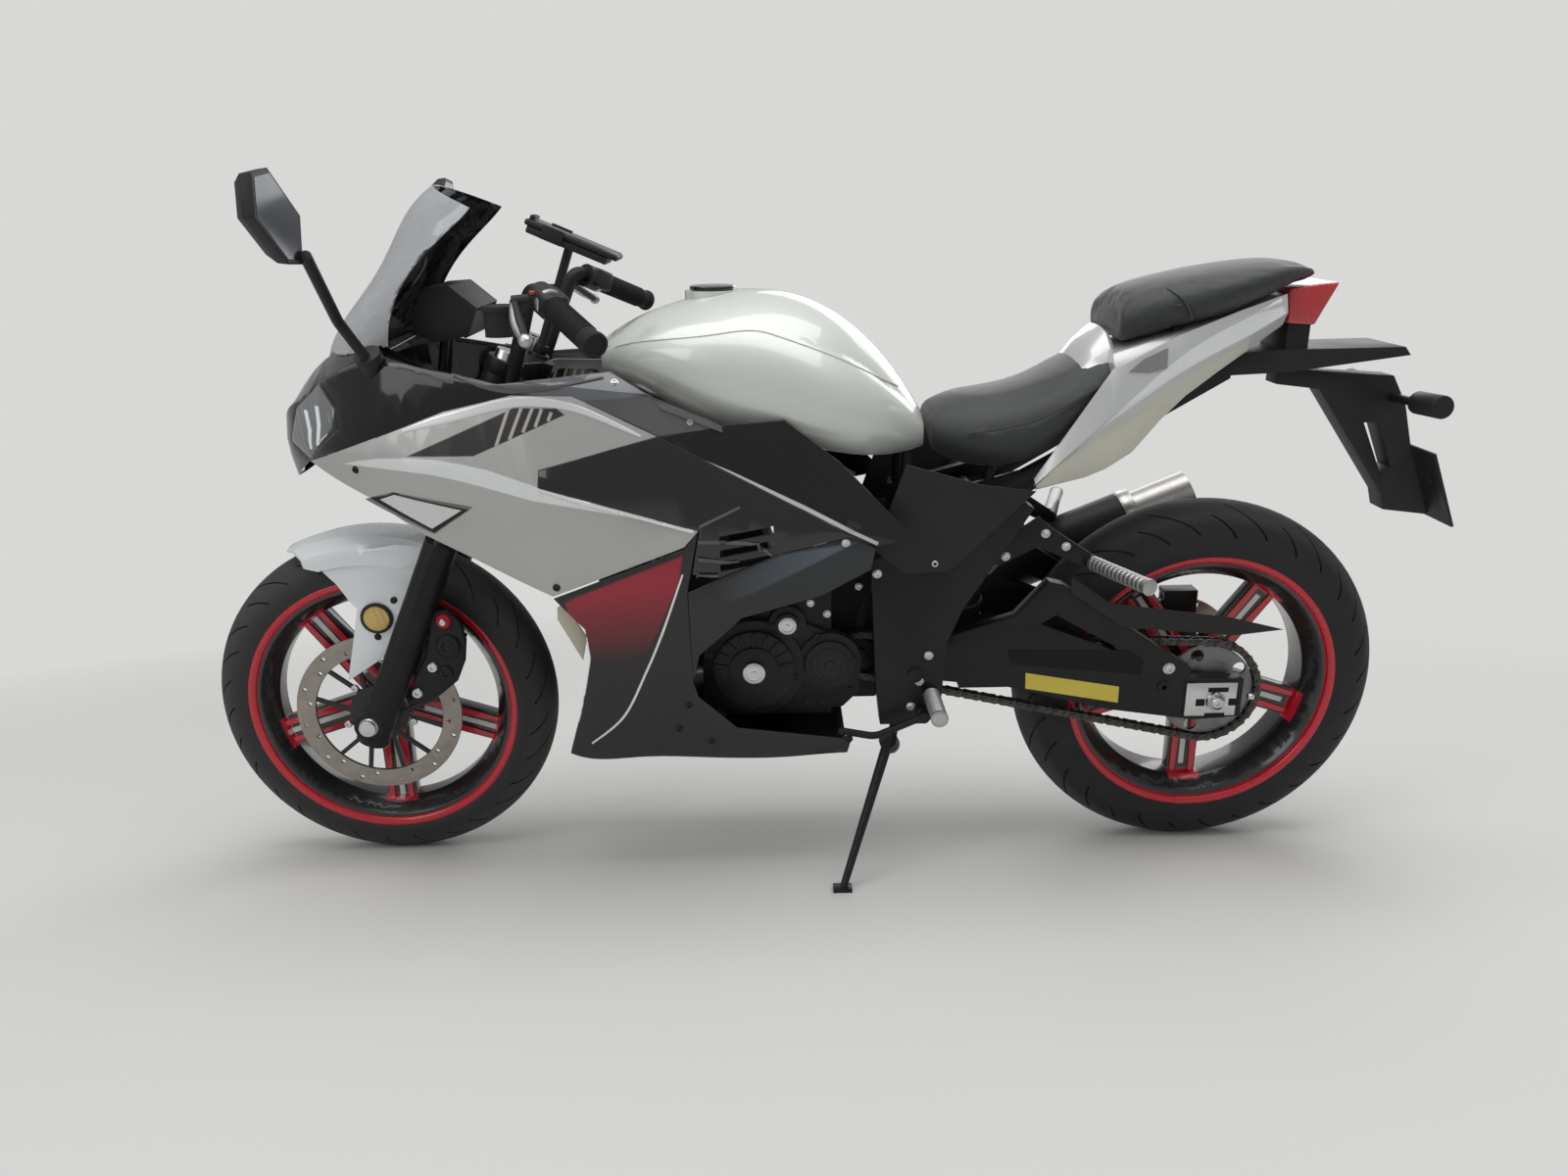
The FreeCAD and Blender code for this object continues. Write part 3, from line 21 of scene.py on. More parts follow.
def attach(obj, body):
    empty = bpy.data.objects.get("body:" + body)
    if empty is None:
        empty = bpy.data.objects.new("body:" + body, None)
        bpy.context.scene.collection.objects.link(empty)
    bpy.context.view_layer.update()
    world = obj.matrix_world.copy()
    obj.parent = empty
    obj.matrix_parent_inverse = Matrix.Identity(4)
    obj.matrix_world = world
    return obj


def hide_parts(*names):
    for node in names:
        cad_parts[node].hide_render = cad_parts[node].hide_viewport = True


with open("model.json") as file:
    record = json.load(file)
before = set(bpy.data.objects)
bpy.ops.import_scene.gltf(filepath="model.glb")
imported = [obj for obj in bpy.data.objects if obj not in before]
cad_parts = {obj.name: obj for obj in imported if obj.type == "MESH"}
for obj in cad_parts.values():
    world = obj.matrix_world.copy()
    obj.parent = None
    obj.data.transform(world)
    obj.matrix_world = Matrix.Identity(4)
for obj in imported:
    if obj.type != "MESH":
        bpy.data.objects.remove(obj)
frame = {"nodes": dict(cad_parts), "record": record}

LOG = logging.getLogger("sport_bike")
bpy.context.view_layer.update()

LEAN = math.radians(12.09)
ORIGIN = Vector((-0.747, 0.2332, 0.0))
LEANED = Matrix.Translation(ORIGIN) @ Matrix.Rotation(LEAN, 4, "X")
WHEELBASE = 1.414
RIM_RADIUS = 0.230
FRONT_RADIUS, FRONT_CROWN, FRONT_HALF_RIM = 0.293, 0.052, 0.045
REAR_RADIUS, REAR_CROWN, REAR_HALF_RIM = 0.314, 0.068, 0.058
SPOKES = 5
LEFT, RIGHT = -1, 1
PAIR = (LEFT, RIGHT)
WORD = {LEFT: "left", RIGHT: "right"}
MILLIMETRES = 1000.0

Colour = tuple[float, float, float]
Point = tuple[float, float, float]
Outline = Sequence[tuple[float, float]]
Number = Union[float, "Wire"]


def axle_height(radius: float, section: float) -> float:
    """Height of an axle over the ground line when the leaned tyre touches the ground."""
    return radius - section + section / math.cos(LEAN)


def metres(values: Iterable[float]) -> tuple[float, ...]:
    """Millimetres as metres."""
    return tuple(value / MILLIMETRES for value in values)


def beside(point: Point, side: int) -> Point:
    """A point of the right side, or its mirror image on the left."""
    return point[0], side * point[1], point[2]


# Shader building.
class Wire:
    """A number socket of a material that takes part in Python expressions."""

    def __init__(self, sheet: "Sheet", socket: bpy.types.NodeSocket) -> None:
        """Keep the socket and the material it belongs to."""
        self.sheet = sheet
        self.socket = socket

    def _with(self, operation: str, other: Optional[Number] = None, swap: bool = False) -> "Wire":
        """Add one Math node for this socket and another value.

        Args:
            operation: The Math node's operation.
            other: The second value, where the operation has one.
            swap: Whether the second value comes first.
        Returns:
            The node's result.
        """
        values = [self] if other is None else [self, other]
        if swap:
            values.reverse()
        node = self.sheet.node("Math", {"operation": operation}, dict(enumerate(values)))
        return Wire(self.sheet, node.outputs[0])

    def __add__(self, other: Number) -> "Wire":
        """Sum."""
        return self._with("ADD", other)

    __radd__ = __add__

    def __sub__(self, other: Number) -> "Wire":
        """Difference."""
        return self._with("SUBTRACT", other)

    def __rsub__(self, other: Number) -> "Wire":
        """Reflected difference."""
        return self._with("SUBTRACT", other, swap=True)

    def __mul__(self, other: Number) -> "Wire":
        """Product."""
        return self._with("MULTIPLY", other)

    __rmul__ = __mul__

    def __truediv__(self, other: Number) -> "Wire":
        """Quotient."""
        return self._with("DIVIDE", other)

    def __pow__(self, other: Number) -> "Wire":
        """Power."""
        return self._with("POWER", other)

    def __abs__(self) -> "Wire":
        """Absolute value."""
        return self._with("ABSOLUTE")

    def sine(self) -> "Wire":
        """Sine of this value in radians."""
        return self._with("SINE")

    def fraction(self) -> "Wire":
        """The part after the decimal point."""
        return self._with("FRACT")

    def least(self, other: Number) -> "Wire":
        """The smaller of two values."""
        return self._with("MINIMUM", other)

    def most(self, other: Number) -> "Wire":
        """The larger of two values."""
        return self._with("MAXIMUM", other)

    def over(self, edge: float, soft: float) -> "Wire":
        """0 below an edge and 1 above it, with a soft ramp.

        Args:
            edge: Where the ramp starts.
            soft: How wide the ramp is.
        Returns:
            The mask.
        """
        ends = {0: self, 1: edge, 2: edge + soft, 3: 0.0, 4: 1.0}
        return Wire(self.sheet, self.sheet.node("MapRange", {"clamp": True}, ends).outputs[0])

    def under(self, edge: float, soft: float) -> "Wire":
        """1 below an edge and 0 above it, with a soft ramp."""
        return 1.0 - self.over(edge, soft)

    def between(self, low: float, high: float, soft: float) -> "Wire":
        """1 between two edges."""
        return self.over(low, soft) * self.under(high, soft)


class Sheet:
    """One material and its nodes."""

    def __init__(self, name: str) -> None:
        """Start an empty material of this name."""
        self.material = bpy.data.materials.new(name)
        self.material.use_nodes = True
        self.tree = self.material.node_tree
        self.tree.nodes.clear()
        self.output = self.tree.nodes.new("ShaderNodeOutputMaterial")

    def node(self, kind: str, settings: dict, sockets: dict) -> bpy.types.Node:
        """Add a node, set it up and fill its sockets.

        Args:
            kind: The node's type without its ShaderNode prefix.
            settings: The node's own attributes, such as a Math node's operation.
            sockets: Values, Wires or sockets by input name or number.
        Returns:
            The new node.
        """
        made = self.tree.nodes.new(f"ShaderNode{kind}")
        for name, value in settings.items():
            setattr(made, name, value)
        for name, value in sockets.items():
            socket = made.inputs[name]
            if isinstance(value, Wire):
                self.tree.links.new(value.socket, socket)
            elif isinstance(value, bpy.types.NodeSocket):
                self.tree.links.new(value, socket)
            elif isinstance(value, tuple) and len(value) == 3 and socket.type == "RGBA":
                socket.default_value = (*value, 1.0)
            else:
                socket.default_value = value
        return made

    def place(self) -> bpy.types.NodeSocket:
        """Object coordinates turned back into the upright bike's frame."""
        coords = self.node("TexCoord", {}, {}).outputs["Object"]
        turned = {"Vector": coords, "Location": tuple(ORIGIN), "Rotation": (LEAN, 0.0, 0.0)}
        return self.node("Mapping", {"vector_type": "TEXTURE"}, turned).outputs[0]

    def split(self, vector: bpy.types.NodeSocket) -> tuple[Wire, Wire, Wire]:
        """The x, y and z of a vector."""
        parts = self.node("SeparateXYZ", {}, {0: vector}).outputs
        return Wire(self, parts[0]), Wire(self, parts[1]), Wire(self, parts[2])

    def wheel(self, axle: Point) -> tuple[Wire, Wire, Wire, Wire]:
        """Distances from a wheel's axle.

        Args:
            axle: The middle of the wheel.
        Returns:
            The distance rearward, to the side and upward, and the radius.
        """
        x, y, z = self.split(self.place())
        across, up = x - axle[0], z - axle[2]
        return across, y, up, (across * across + up * up) ** 0.5

    def noise(self, scale: float, detail: float = 2.0) -> Wire:
        """Smooth noise over the piece.

        Args:
            scale: Noise cells per metre.
            detail: Octaves of finer noise.
        Returns:
            A value between 0 and 1.
        """
        inputs = {"Vector": self.place(), "Scale": scale, "Detail": detail}
        return Wire(self, self.node("TexNoise", {}, inputs).outputs[0])

    def cells(self, scale: float, feature: str = "F1") -> Wire:
        """Distance pattern of scattered cells."""
        inputs = {"Vector": self.place(), "Scale": scale}
        return Wire(self, self.node("TexVoronoi", {"feature": feature}, inputs).outputs[0])

    def flakes(self, share: float) -> Wire:
        """Metal flakes scattered in the paint."""
        return self.cells(2600.0).under(0.25, 0.2) * share

    def mix(self, factor: Number, first: object, second: object) -> bpy.types.NodeSocket:
        """A colour between two colours."""
        colours = [(*c, 1.0) if isinstance(c, tuple) else c for c in (first, second)]
        made = self.node("Mix", {"data_type": "RGBA"}, {0: factor, 6: colours[0], 7: colours[1]})
        return made.outputs[2]

    def inside(self, x: Wire, z: Wire, corners: Outline, soft: float = 0.0015) -> Wire:
        """1 inside a convex outline and 0 outside it.

        Args:
            x: The first coordinate.
            z: The second coordinate.
            corners: The outline's corners in order.
            soft: Width of the soft edge.
        Returns:
            The mask.
        """
        sides = list(zip(corners, [*corners[1:], corners[0]]))
        area = sum(x0 * z1 - x1 * z0 for (x0, z0), (x1, z1) in sides)
        edges = []
        for (x0, z0), (x1, z1) in sides:
            long = math.copysign(math.hypot(x1 - x0, z1 - z0), area)
            edges.append(((z - z0) * ((x1 - x0) / long) - (x - x0) * ((z1 - z0) / long)).over(0.0, soft))
        return reduce(Wire.least, edges)

    @staticmethod
    def legs(x: Wire, z: Wire, points: Outline) -> list[tuple[Wire, Wire, float]]:
        """Distance along and aside of each straight leg of a line, and the leg's length."""
        found = []
        for (x0, z0), (x1, z1) in zip(points, points[1:]):
            long = math.hypot(x1 - x0, z1 - z0)
            ux, uz = (x1 - x0) / long, (z1 - z0) / long
            aside = abs((z - z0) * ux - (x - x0) * uz)
            found.append(((x - x0) * ux + (z - z0) * uz, aside, long))
        return found

    def stroke(self, x: Wire, z: Wire, points: Outline, width: float) -> Wire:
        """1 on a line of the given width through the points."""
        return reduce(Wire.most, [aside.under(width / 2, 0.0006) * along.between(-0.0005, long, 0.0006)
                                  for along, aside, long in self.legs(x, z, points)])

    def band(self, x: Wire, z: Wire, points: Outline, widths: Sequence[float]) -> Wire:
        """1 on a band of changing width that follows the points."""
        parts = []
        for (along, aside, long), wide, next_wide in zip(self.legs(x, z, points), widths, widths[1:]):
            part = (along * ((next_wide - wide) / 2.0 / long) + wide / 2.0 - aside).over(0.0, 0.0012)
            parts.append(part * along.between(-0.0015, long + 0.0015, 0.0012))
        return reduce(Wire.most, parts)

    def bump(self, height: Wire, depth: float, strength: float = 1.0) -> bpy.types.NodeSocket:
        """A normal raised by a height between 0 and 1 times a depth in metres."""
        made = self.node("Bump", {}, {"Height": height, "Distance": depth, "Strength": strength})
        return made.outputs[0]

    def waves(self, scale: float, depth: float = 0.00005) -> bpy.types.NodeSocket:
        """The faint waves of sprayed paint, as a normal."""
        return self.bump(self.noise(scale, 1.0), depth, 0.5)

    def surface(self, **sockets: object) -> bpy.types.Material:
        """Close the material with its Principled node.

        Args:
            **sockets: Socket names with underscores for spaces, and their values.
        Returns:
            The finished material.
        """
        inputs = {name.replace("_", " "): value for name, value in sockets.items()}
        made = self.node("BsdfPrincipled", {}, inputs)
        self.tree.links.new(made.outputs[0], self.output.inputs[0])
        return self.material

    def gloss(self, colour: bpy.types.NodeSocket, shine: float, coat: float, haze: float,
              waves: float) -> bpy.types.Material:
        """Close the material as the gloss paint of a dark panel.

        Args:
            colour: Its base colour.
            shine: The paint's own specular level.
            coat: Weight of the clear coat.
            haze: Roughness of the clear coat.
            waves: Scale of the faint waves.
        Returns:
            The finished material.
        """
        return self.surface(Base_Color=colour, Specular_IOR_Level=shine, Coat_Weight=coat,
                            Coat_Roughness=haze, Roughness=0.20 + self.noise(50.0, 3.0) * 0.08,
                            Normal=self.waves(waves))


# Finishes.
MADE: dict[str, bpy.types.Material] = {}


class Finish:
    """A finish that builds its material once."""

    name: str

    def sheet(self) -> Sheet:
        """A new sheet of this finish's name."""
        return Sheet(self.name)

    def build(self) -> bpy.types.Material:
        """Make the material."""
        raise NotImplementedError

    def material(self) -> bpy.types.Material:
        """The material, made on first use."""
        if self.name not in MADE:
            MADE[self.name] = self.build()
        return MADE[self.name]


@dataclass(frozen=True)
class Lacquer(Finish):
    """Sprayed paint under clear lacquer, with metal flake where it has any."""

    name: str
    colour: Colour
    shade: Colour
    metallic: float = 0.0
    roughness: float = 0.35
    flake: float = 0.0

    def build(self) -> bpy.types.Material:
        """Make the paint."""
        s = self.sheet()
        colour = s.mix(s.noise(5.0, 3.0).over(0.3, 0.4) * 0.35, self.colour, self.shade)
        if self.flake:
            bright = tuple(min(1.0, c * 1.5) for c in self.colour)
            colour = s.mix(s.flakes(self.flake), colour, bright)
        return s.surface(Base_Color=colour, Metallic=self.metallic, Specular_IOR_Level=0.2,
                         Roughness=self.roughness + s.noise(60.0, 4.0) * 0.06, Coat_Weight=1.0,
                         Coat_Roughness=0.06, Normal=s.waves(140.0, 0.00006))


@dataclass(frozen=True)
class Moulded(Finish):
    """Grained moulded plastic, or powder-coated or cast metal."""

    name: str
    colour: Colour
    roughness: float = 0.5
    metallic: float = 0.0
    grain: float = 900.0
    depth: float = 0.0001
    wear: float = 0.15

    def build(self) -> bpy.types.Material:
        """Make the moulded or coated surface."""
        s = self.sheet()
        soft = s.noise(14.0, 4.0)
        dusty = tuple(min(1.0, c * 1.9 + 0.02) for c in self.colour)
        colour = s.mix(soft.over(0.45, 0.35) * self.wear, self.colour, dusty)
        grain = s.bump(s.noise(self.grain, 2.0), self.depth, 0.6)
        return s.surface(Base_Color=colour, Metallic=self.metallic, Roughness=self.roughness + soft * 0.12,
                         Specular_IOR_Level=0.3, Normal=grain)


@dataclass(frozen=True)
class Metal(Finish):
    """Bare or plated metal with fine brushing."""

    name: str
    colour: Colour
    roughness: float = 0.25
    grime: float = 0.2
    grime_colour: Colour = (0.06, 0.05, 0.04)

    def build(self) -> bpy.types.Material:
        """Make the metal."""
        s = self.sheet()
        patch = s.noise(35.0, 5.0)
        fine = s.noise(420.0, 3.0)
        colour = s.mix(patch.over(0.5, 0.3) * self.grime, self.colour, self.grime_colour)
        worn = self.roughness + fine * 0.1 + patch * 0.08
        return s.surface(Base_Color=colour, Metallic=1.0, Roughness=worn, Normal=s.bump(fine, 0.00004, 0.5))


@dataclass(frozen=True)
class Lens(Finish):
    """Moulded lamp lens or smoked sheet, clear enough to see through."""

    name: str
    colour: Colour
    alpha: float
    roughness: float = 0.06
    flutes: float = 0.0

    def build(self) -> bpy.types.Material:
        """Make the lens."""
        s = self.sheet()
        haze = s.noise(25.0, 3.0)
        inputs = {"Base_Color": s.mix(haze * 0.2, self.colour, tuple(c * 0.8 for c in self.colour)),
                  "Roughness": self.roughness + haze * 0.04, "Alpha": self.alpha, "IOR": 1.49,
                  "Coat_Weight": 1.0, "Coat_Roughness": 0.03}
        if self.flutes:
            x, _, z = s.split(s.place())
            ridges = abs((x * self.flutes + z * self.flutes * 0.3).sine())
            inputs["Normal"] = s.bump(ridges, 0.0012, 0.7)
        return s.surface(**inputs)


@dataclass(frozen=True)
class Vinyl(Finish):
    """Seat vinyl with a fine leather grain and a satin sheen."""

    name: str
    colour: Colour

    def build(self) -> bpy.types.Material:
        """Make the vinyl."""
        s = self.sheet()
        grain = s.cells(850.0, "DISTANCE_TO_EDGE")
        soft = s.noise(9.0, 3.0)
        colour = s.mix(soft.over(0.4, 0.4) * 0.5, self.colour, tuple(c * 1.5 + 0.01 for c in self.colour))
        height = grain.over(0.0, 0.12) + s.noise(60.0, 3.0) * 0.4
        return s.surface(Base_Color=colour, Roughness=0.36 + soft * 0.14, Normal=s.bump(height, 0.00022, 0.6),
                         Sheen_Weight=0.15)


@dataclass(frozen=True)
class TyreRubber(Finish):
    """Road tyre rubber: scuffed tread, smoother sidewall with fine rings."""

    name: str
    axle: Point

    def build(self) -> bpy.types.Material:
        """Make the rubber."""
        s = self.sheet()
        _, y, _, radius = s.wheel(self.axle)
        dust = s.noise(30.0, 5.0)
        scuff = abs(y).under(0.045, 0.012)
        tint = scuff * (0.35 + dust * 0.5)
        colour = s.mix(tint, (0.012, 0.012, 0.013), (0.055, 0.054, 0.052))
        rings = (radius * 2400.0).sine() * (1.0 - scuff)
        return s.surface(Base_Color=colour, Roughness=0.62 + dust * 0.25,
                         Normal=s.bump(rings * 0.2 + s.noise(500.0, 3.0) * 0.6, 0.00022, 0.7))


@dataclass(frozen=True)
class DiscPaint(Finish):
    """Brake disc: brushed steel ring on a black carrier."""

    name: str
    axle: Point
    carrier: float

    def build(self) -> bpy.types.Material:
        """Make the two metals."""
        s = self.sheet()
        radius = s.wheel(self.axle)[3]
        ring = radius.over(self.carrier, 0.0008)
        worn = s.noise(45.0, 4.0)
        steel = s.mix(worn, (0.40, 0.37, 0.33), (0.26, 0.24, 0.21))
        colour = s.mix(ring, (0.012, 0.012, 0.013), steel)
        brushed = (radius * 7000.0).sine() * ring
        return s.surface(Base_Color=colour, Metallic=ring * 0.8, Roughness=0.36 + worn * 0.15,
                         Normal=s.bump(brushed, 0.00004, 0.5))


@dataclass(frozen=True)
class WheelPaint(Finish):
    """Gloss black wheel with red rim lips, red spoke ribs and a pale painted highlight down the middle of
    each spoke.
    """

    name: str
    axle: Point
    half: float
    spoke_highlight: tuple[float, float]

    def build(self) -> bpy.types.Material:
        """Make the wheel paint."""
        s = self.sheet()
        across, y, up, radius = s.wheel(self.axle)
        outward = abs(y)
        lip = radius.over(0.2165, 0.001) * outward.over(self.half - 0.014, 0.001)
        turn = Wire(s, s.node("Math", {"operation": "ARCTAN2"}, {0: up, 1: across}).outputs[0])
        pitch = 2 * math.pi / SPOKES
        share = ((turn + math.pi / 2 + pitch / 2) / pitch + 10.0).fraction() - 0.5
        aside = abs((share * pitch).sine() * radius)
        length = radius.between(0.045, 0.192, 0.003)
        ribs = aside.between(0.0052, 0.0235, 0.001) * outward.over(0.0136, 0.0008) * length
        roots = aside.under(0.027, 0.002) * radius.between(0.186, 0.196, 0.002) * outward.over(0.010, 0.002)
        # A pale line down the middle of each spoke: a painted highlight.
        spoke_highlight = aside.under(0.0042, 0.0008) * radius.between(*self.spoke_highlight, 0.003)
        red = s.mix(s.noise(160.0, 2.0) * 0.5, (0.56, 0.008, 0.026), (0.44, 0.006, 0.018))
        black = s.mix(s.noise(20.0, 3.0) * 0.4, (0.006, 0.006, 0.007), (0.014, 0.014, 0.014))
        colour = s.mix(lip.most(ribs).most(roots), black, red)
        colour = s.mix(spoke_highlight * outward.over(0.008, 0.002), colour, (0.62, 0.60, 0.60))
        grain = s.bump(s.noise(300.0, 2.0), 0.00005, 0.5)
        return s.surface(Base_Color=colour, Metallic=0.15, Roughness=0.28 + s.noise(60.0, 3.0) * 0.12,
                         Coat_Weight=0.8, Coat_Roughness=0.1, Normal=grain)


@dataclass(frozen=True)
class BellyPaint(Finish):
    """Gloss black belly panel whose front upper part fades to deep red."""

    name: str

    def build(self) -> bpy.types.Material:
        """Make the fading paint."""
        s = self.sheet()
        x, _, z = s.split(s.place())
        patch = s.inside(x, z, ((0.385, 0.440), (0.360, 0.546), (0.379, 0.556), (0.546, 0.622),
                                (0.538, 0.575), (0.500, 0.490), (0.470, 0.430)), 0.004)
        fade = (z - (x - 0.35) * 0.10).over(0.435, 0.12)
        colour = s.mix(patch * fade, (0.010, 0.008, 0.008), (0.30, 0.008, 0.022))
        cream = s.inside(x, z, ((0.338, 0.536), (0.352, 0.532), (0.372, 0.505), (0.386, 0.474),
                                (0.380, 0.440), (0.350, 0.480)), 0.002)
        return s.gloss(s.mix(cream, colour, (0.44, 0.42, 0.34)), 0.15, 0.8, 0.06, 120.0)


@dataclass(frozen=True)
class FairingPaint(Finish):
    """Silver side panel with a painted highlight along its upper fold, painted shade low down and a dark
    wedge that ends in slanted pale bars.
    """

    name: str
    bars: Sequence[Outline] = (((0.296, 0.834), (0.277, 0.784)), ((0.316, 0.838), (0.297, 0.793)),
                               ((0.332, 0.837), (0.317, 0.803)), ((0.345, 0.835), (0.335, 0.810)),
                               ((0.359, 0.830), (0.354, 0.818)))

    def build(self) -> bpy.types.Material:
        """Make the silver with its painted shade, its wedge and the fold's painted highlight."""
        s = self.sheet()
        x, _, z = s.split(s.place())
        soft = s.noise(4.0, 3.0)
        silver = s.mix(soft.over(0.3, 0.4) * 0.5, (0.47, 0.475, 0.46), (0.41, 0.415, 0.395))
        silver = s.mix(s.flakes(0.3), silver, (0.62, 0.62, 0.60))
        # Darker low down: painted shade.
        silver = s.mix(z.under(0.66, 0.10) * 0.45, silver, (0.40, 0.405, 0.37))
        wedge = s.inside(x, z, ((0.137, 0.767), (0.243, 0.769), (0.380, 0.826), (0.367, 0.836),
                                (0.305, 0.838)))
        colour = s.mix(wedge, silver, (0.020, 0.017, 0.017))
        bars = reduce(Wire.most, [s.stroke(x, z, ends, 0.0042) for ends in self.bars])
        colour = s.mix(bars * wedge, colour, (0.46, 0.43, 0.41))
        # A pale band along the body's upper fold: a painted highlight.
        fold_highlight = s.band(x, z, ((0.031, 0.749), (0.062, 0.753), (0.095, 0.7555), (0.137, 0.7555),
                               (0.180, 0.753), (0.220, 0.7465), (0.258, 0.738), (0.331, 0.716),
                               (0.402, 0.698), (0.480, 0.680)),
                        (0.002, 0.009, 0.016, 0.021, 0.024, 0.026, 0.027, 0.022, 0.011, 0.004))
        colour = s.mix(fold_highlight, colour, (0.76, 0.79, 0.79))
        return s.surface(Base_Color=colour, Metallic=(1.0 - wedge) * 0.45, Coat_Weight=0.6,
                         Coat_Roughness=0.1, Roughness=0.40 + soft * 0.08 - wedge * 0.15,
                         Normal=s.waves(140.0))


@dataclass(frozen=True)
class TailPaint(Finish):
    """Silver tail cowl with a painted highlight band below its shoulder."""

    name: str

    def build(self) -> bpy.types.Material:
        """Make the silver and its painted highlight band."""
        s = self.sheet()
        x, _, z = s.split(s.place())
        soft = s.noise(4.0, 3.0)
        # A pale band below the shoulder: a painted highlight.
        band = s.band(x, z, ((1.192, 0.786), (1.237, 0.822), (1.288, 0.860), (1.328, 0.886),
                             (1.371, 0.908), (1.411, 0.926), (1.466, 0.952)),
                      (0.003, 0.012, 0.020, 0.024, 0.026, 0.026, 0.022))
        silver = s.mix(soft, (0.60, 0.61, 0.62), (0.53, 0.54, 0.54))
        silver = s.mix(s.flakes(0.3), silver, (0.72, 0.73, 0.74))
        return s.surface(Base_Color=s.mix(band, silver, (0.80, 0.82, 0.83)), Metallic=0.3, Coat_Weight=0.4,
                         Coat_Roughness=0.1, Roughness=0.38 + soft * 0.08, Normal=s.waves(140.0))


@dataclass(frozen=True)
class UpperPaint(Finish):
    """Gloss black upper panel with a thin silver line, a painted reflection on its upper face and a painted
    highlight along its top edge.
    """

    name: str

    def build(self) -> bpy.types.Material:
        """Make the black, its line, its painted reflection and its painted highlight."""
        s = self.sheet()
        x, _, z = s.split(s.place())
        line = s.stroke(x, z, ((0.503, 0.7885), (0.617, 0.739), (0.726, 0.686), (0.836, 0.629)), 0.0052)
        # The paler upper face is a painted reflection; the pale strip along the top edge is a painted
        # highlight.
        top_reflection = s.inside(x, z, ((0.455, 0.842), (0.503, 0.850), (0.624, 0.807), (0.513, 0.790)), 0.006)
        edge_highlight = (z + x * 0.26).over(0.937, 0.006) * x.under(0.47, 0.04) * x.over(0.0, 0.02)
        colour = s.mix(top_reflection.most(edge_highlight) * 0.9, (0.0045, 0.0045, 0.005), (0.16, 0.165, 0.18))
        return s.gloss(s.mix(line, colour, (0.55, 0.54, 0.53)), 0.1, 0.8, 0.07, 110.0)


@dataclass(frozen=True)
class SweepPaint(Finish):
    """Black panel under the scoop whose upper face carries a painted blue-grey highlight."""

    name: str

    def build(self) -> bpy.types.Material:
        """Make the black with its painted highlight."""
        s = self.sheet()
        x, _, z = s.split(s.place())
        # The upper face's blue grey, growing rearward, is a painted highlight.
        blade = s.inside(x, z, ((0.590, 0.574), (0.690, 0.619), (0.815, 0.636), (0.735, 0.596),
                                (0.650, 0.556), (0.605, 0.541)), 0.004)
        highlight_ramp = (x - 0.60).over(0.0, 0.16)
        pale = s.mix(highlight_ramp, (0.012, 0.012, 0.014), (0.07, 0.09, 0.115))
        dark = s.mix(highlight_ramp, (0.005, 0.005, 0.006), (0.006, 0.010, 0.013))
        return s.gloss(s.mix(blade, dark, pale), 0.1, 1.0, 0.05, 110.0)


